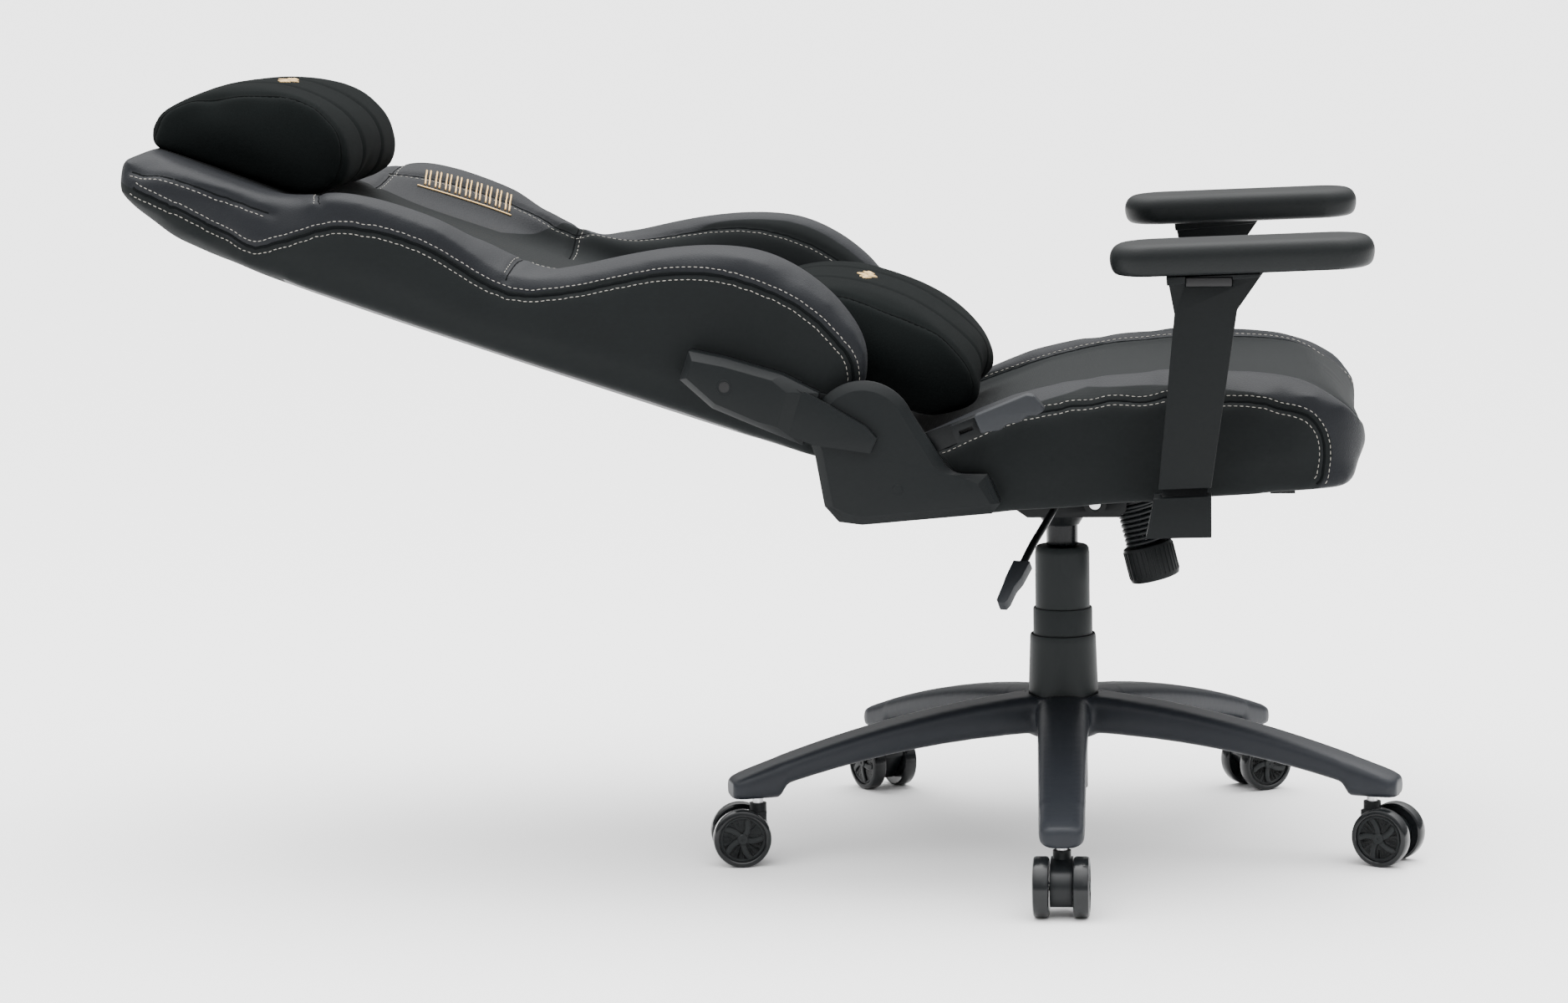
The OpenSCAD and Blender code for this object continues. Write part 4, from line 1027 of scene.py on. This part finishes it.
for side, word in ((-1, "right"), (1, "left")):
    moulded(f"sideCover{word.title()}", f"side_cover_{word}", "seat", "cover", "cover_plastic", 0.8, 2)
    rimAt = -cover["face"] + cover["depth"]
    plate = banded(coverOutline(0), coverOutline(cover["band"]), rimAt, -cover["face"] - 0.3, rimAt + 0.4)
    bevelSharp(plate, cover["edge"] / 1000.0, 3, 18)
    x, z, r = cover["plug"]
    plug = lathe([(0, 0), (r, 0), (r, 0.5), (r - 0.5, 0.9), (0, 0.9)], 32)
    join(plate, plug, Matrix.Translation(mm(x, -cover["face"], z)) @ Matrix.Rotation(math.pi / 2, 4, "X"))
    if side > 0:
        mirrored(plate)
    place(plate, f"sideCoverFace{word.title()}", "seat", "cover", "cover_plastic", smooth=30)

armCover = {
    "face": 296.0, "step": 285.0, "edge": 1.3, "bolt": (146, 0),
    "inside": [(184, -3), (184, 15), (153, 19), (104, 21), (86, 14), (84, -21), (104, -22), (150, -18)],
    "rim": [(191, -8), (191, 22), (155, 26), (96, 28), (56, 22), (56, -32), (100, -29), (152, -25)],
}


def leanedBack(points):
    return [((onBack(s, t).x) * 1000.0, (onBack(s, t).z) * 1000.0) for s, t in points]


for side, word in ((-1, "right"), (1, "left")):
    moulded(f"backArmCover{word.title()}", f"back_cover_{word}", "back", "cover", "cover_plastic", 1.0, 2)
    plate = banded(leanedBack(armCover["rim"]), leanedBack(armCover["inside"]), -armCover["step"],
                   -armCover["face"], -armCover["step"] + 1.0)
    bevelSharp(plate, armCover["edge"] / 1000.0, 3, 12)
    hole = lathe([(0, 0), (5.4, 0), (5.6, 0.5), (7.2, 0.5), (7.6, 0), (7.6, -1), (0, -1)], 40)
    at = onBack(*armCover["bolt"])
    turn = Matrix.Translation(Vector((at.x, -armCover["face"] / 1000.0, at.z))) @ Matrix.Rotation(
        math.pi / 2, 4, "X")
    join(plate, hole, turn)
    dark = lathe([(0, 0.12), (5.3, 0.12), (5.3, -0.5), (0, -0.5)], 32)
    bmesh.ops.transform(dark, matrix=turn, verts=dark.verts)
    if side > 0:
        mirrored(plate)
        mirrored(dark)
    place(plate, f"backArmCoverFace{word.title()}", "back", "cover", "cover_plastic", smooth=30)
    place(dark, f"boltHole{word.title()}", "back", "button", "cover_plastic", smooth=60)
print("recliner")


# arms

moulded("armPosts", "arm_brackets", "seat", "coated", "black_steel", 1.6, 3)
armPad = {"length": 254.0, "width": 92.0, "height": 32.0, "corner": 40.0, "centre": (187.0, 320.0, 645.0),
          "tilt": 1.7, "crown": 1.5}


def padShape(settings):  # a soft block from rings that swell from the base and close over the top
    bm = bmesh.new()
    levels = [(-1.0, -10.5), (-0.86, -4.2), (-0.55, -1.3), (-0.1, 0.0), (0.25, -0.2), (0.6, -2.6),
              (0.84, -6.6), (0.97, -12.5)]
    loops = []
    for height, grow in levels:
        half, wide = settings["length"] / 2 + grow, settings["width"] / 2 + grow * 0.8
        r = min(settings["corner"] + grow * 0.6, wide - 2)
        outline = []
        for cx, cy, first in ((half - r, wide - r, 0), (r - half, wide - r, 90), (r - half, r - wide, 180),
                              (half - r, r - wide, 270)):
            outline += ring(cx, cy, r, first, first + 90, 9)
        points = [bm.verts.new(mm(x, y, height * settings["height"] / 2)) for x, y in outline]
        loops.append([bm.edges.new((a, b)) for a, b in zip(points, points[1:] + points[:1])])
    for a, b in zip(loops, loops[1:]):
        bmesh.ops.bridge_loops(bm, edges=a + b)
    for cap, way in ((loops[0], -1), (loops[-1], 1)):
        face = bmesh.ops.contextual_create(bm, geom=cap)["faces"]
        bmesh.ops.inset_region(bm, faces=face, thickness=0.012, depth=0.0)
        if way > 0:
            bmesh.ops.translate(bm, vec=mm(0, 0, settings["crown"] * 0.4), verts=list(face[0].verts))
    return closeUp(bm)


for side, word in ((-1, "right"), (1, "left")):
    label = word.title()
    moulded(f"armSocket{label}", f"arm_socket_{word}", "seat", "arm", "arm_plastic", 2.0, 3)
    moulded(f"armSleeve{label}", f"arm_sleeve_{word}", f"arm_{word}", "arm", "arm_plastic", 2.6, 3)
    moulded(f"armButton{label}", f"arm_button_{word}", f"arm_button_{word}", "button", "arm_plastic", 1.2, 3)
    shape = padShape(armPad)
    x, y, z = armPad["centre"]
    bmesh.ops.transform(shape, matrix=Matrix.Translation(mm(x, side * y, z)) @ Matrix.Rotation(
        -math.radians(armPad["tilt"]), 4, "Y"), verts=shape.verts)
    piece = place(shape, f"armPad{label}", f"arm_{word}", "pad", "pad_rubber", [f"arm_pad_{word}"], 60)
    finer = piece.modifiers.new("finer", "SUBSURF")
    finer.levels = finer.render_levels = 2
print("arms")


# finishes on the CAD nodes that still show

left = {"column_bush": "bush", "thrust_bearing": "steel", "rod_clip": "steel", "piston_rod": "steel",
        "release_pin": "steel", "tension_bolt": "steel", "back_frame": "coated"}
for node, word in left.items():
    cad[node].data.materials.clear()
    cad[node].data.materials.append(finish[word])


# floor, lights and camera

studio = {"floor": 0.95, "zenith": 7.5, "horizon": 0.25, "falloff": 2.4, "floorSize": 60.0}
bm = bmesh.new()
bmesh.ops.create_grid(bm, x_segments=1, y_segments=1, size=studio["floorSize"])
floorMesh = bpy.data.meshes.new("floor")
bm.to_mesh(floorMesh)
bm.free()
pale = rgb(studio["floor"], studio["floor"], studio["floor"])
floorMesh.materials.append(newMaterial("paper", pale, 0.9, {"Specular IOR Level": 0.1})[0])
floorPiece = bpy.data.objects.new("floor", floorMesh)
bpy.context.scene.collection.objects.link(floorPiece)

world = bpy.data.worlds.new("studio")
bpy.context.scene.world = world
world.use_nodes = True
world.node_tree.nodes["Background"].inputs["Color"].default_value = rgb(1.0, 1.0, 1.0)
sky = Wire(world.node_tree)
upward = sky.node("ShaderNodeSeparateXYZ", {}, {0: sky.node("ShaderNodeTexCoord")}, 2)
glow = sky.sum("POWER", sky.sum("MAXIMUM", upward, 0.0), studio["falloff"])
glow = glow * studio["zenith"] + studio["horizon"]
world.node_tree.links.new(glow.socket, world.node_tree.nodes["Background"].inputs["Strength"])


def softBox(name, at, aim, size, power):
    light = bpy.data.lights.new(name, "AREA")
    light.shape, light.size, light.size_y, light.energy = "RECTANGLE", size[0], size[1], power
    made = bpy.data.objects.new(name, light)
    turn = (Vector(aim) - Vector(at)).to_track_quat("-Z", "Y")
    made.matrix_world = Matrix.Translation(Vector(at)) @ turn.to_matrix().to_4x4()
    bpy.context.scene.collection.objects.link(made)


softBox("overhead", (-0.2, 0.4, 3.4), (-0.2, 0.1, 0.5), (3.2, 2.0), 60.0)
softBox("nearSide", (1.6, -3.6, 1.8), (0.0, 0.0, 0.5), (2.2, 1.6), 8.0)
softBox("headEnd", (-3.2, -1.2, 1.8), (-0.4, 0.0, 0.6), (1.4, 1.8), 10.0)

view = {"at": (0.1768, -4.6141, 1.0109), "yaw": 0.1011, "pitch": 0.1391, "roll": -0.0176, "lens": 102.4}
ahead = Vector((-math.sin(view["yaw"]) * math.cos(view["pitch"]),
                math.cos(view["yaw"]) * math.cos(view["pitch"]), -math.sin(view["pitch"])))
level = Vector((math.cos(view["yaw"]), math.sin(view["yaw"]), 0.0))
upright = level.cross(ahead)
right = level * math.cos(view["roll"]) + upright * math.sin(view["roll"])
above = upright * math.cos(view["roll"]) - level * math.sin(view["roll"])
lensBody = bpy.data.cameras.new("camera")
lensBody.lens, lensBody.sensor_width, lensBody.sensor_fit = view["lens"], 36.0, "HORIZONTAL"
cameraPiece = bpy.data.objects.new("camera", lensBody)
turn = Matrix((right, above, -ahead)).transposed().to_4x4()
cameraPiece.matrix_world = Matrix.Translation(Vector(view["at"])) @ turn
bpy.context.scene.collection.objects.link(cameraPiece)
bpy.context.scene.camera = cameraPiece
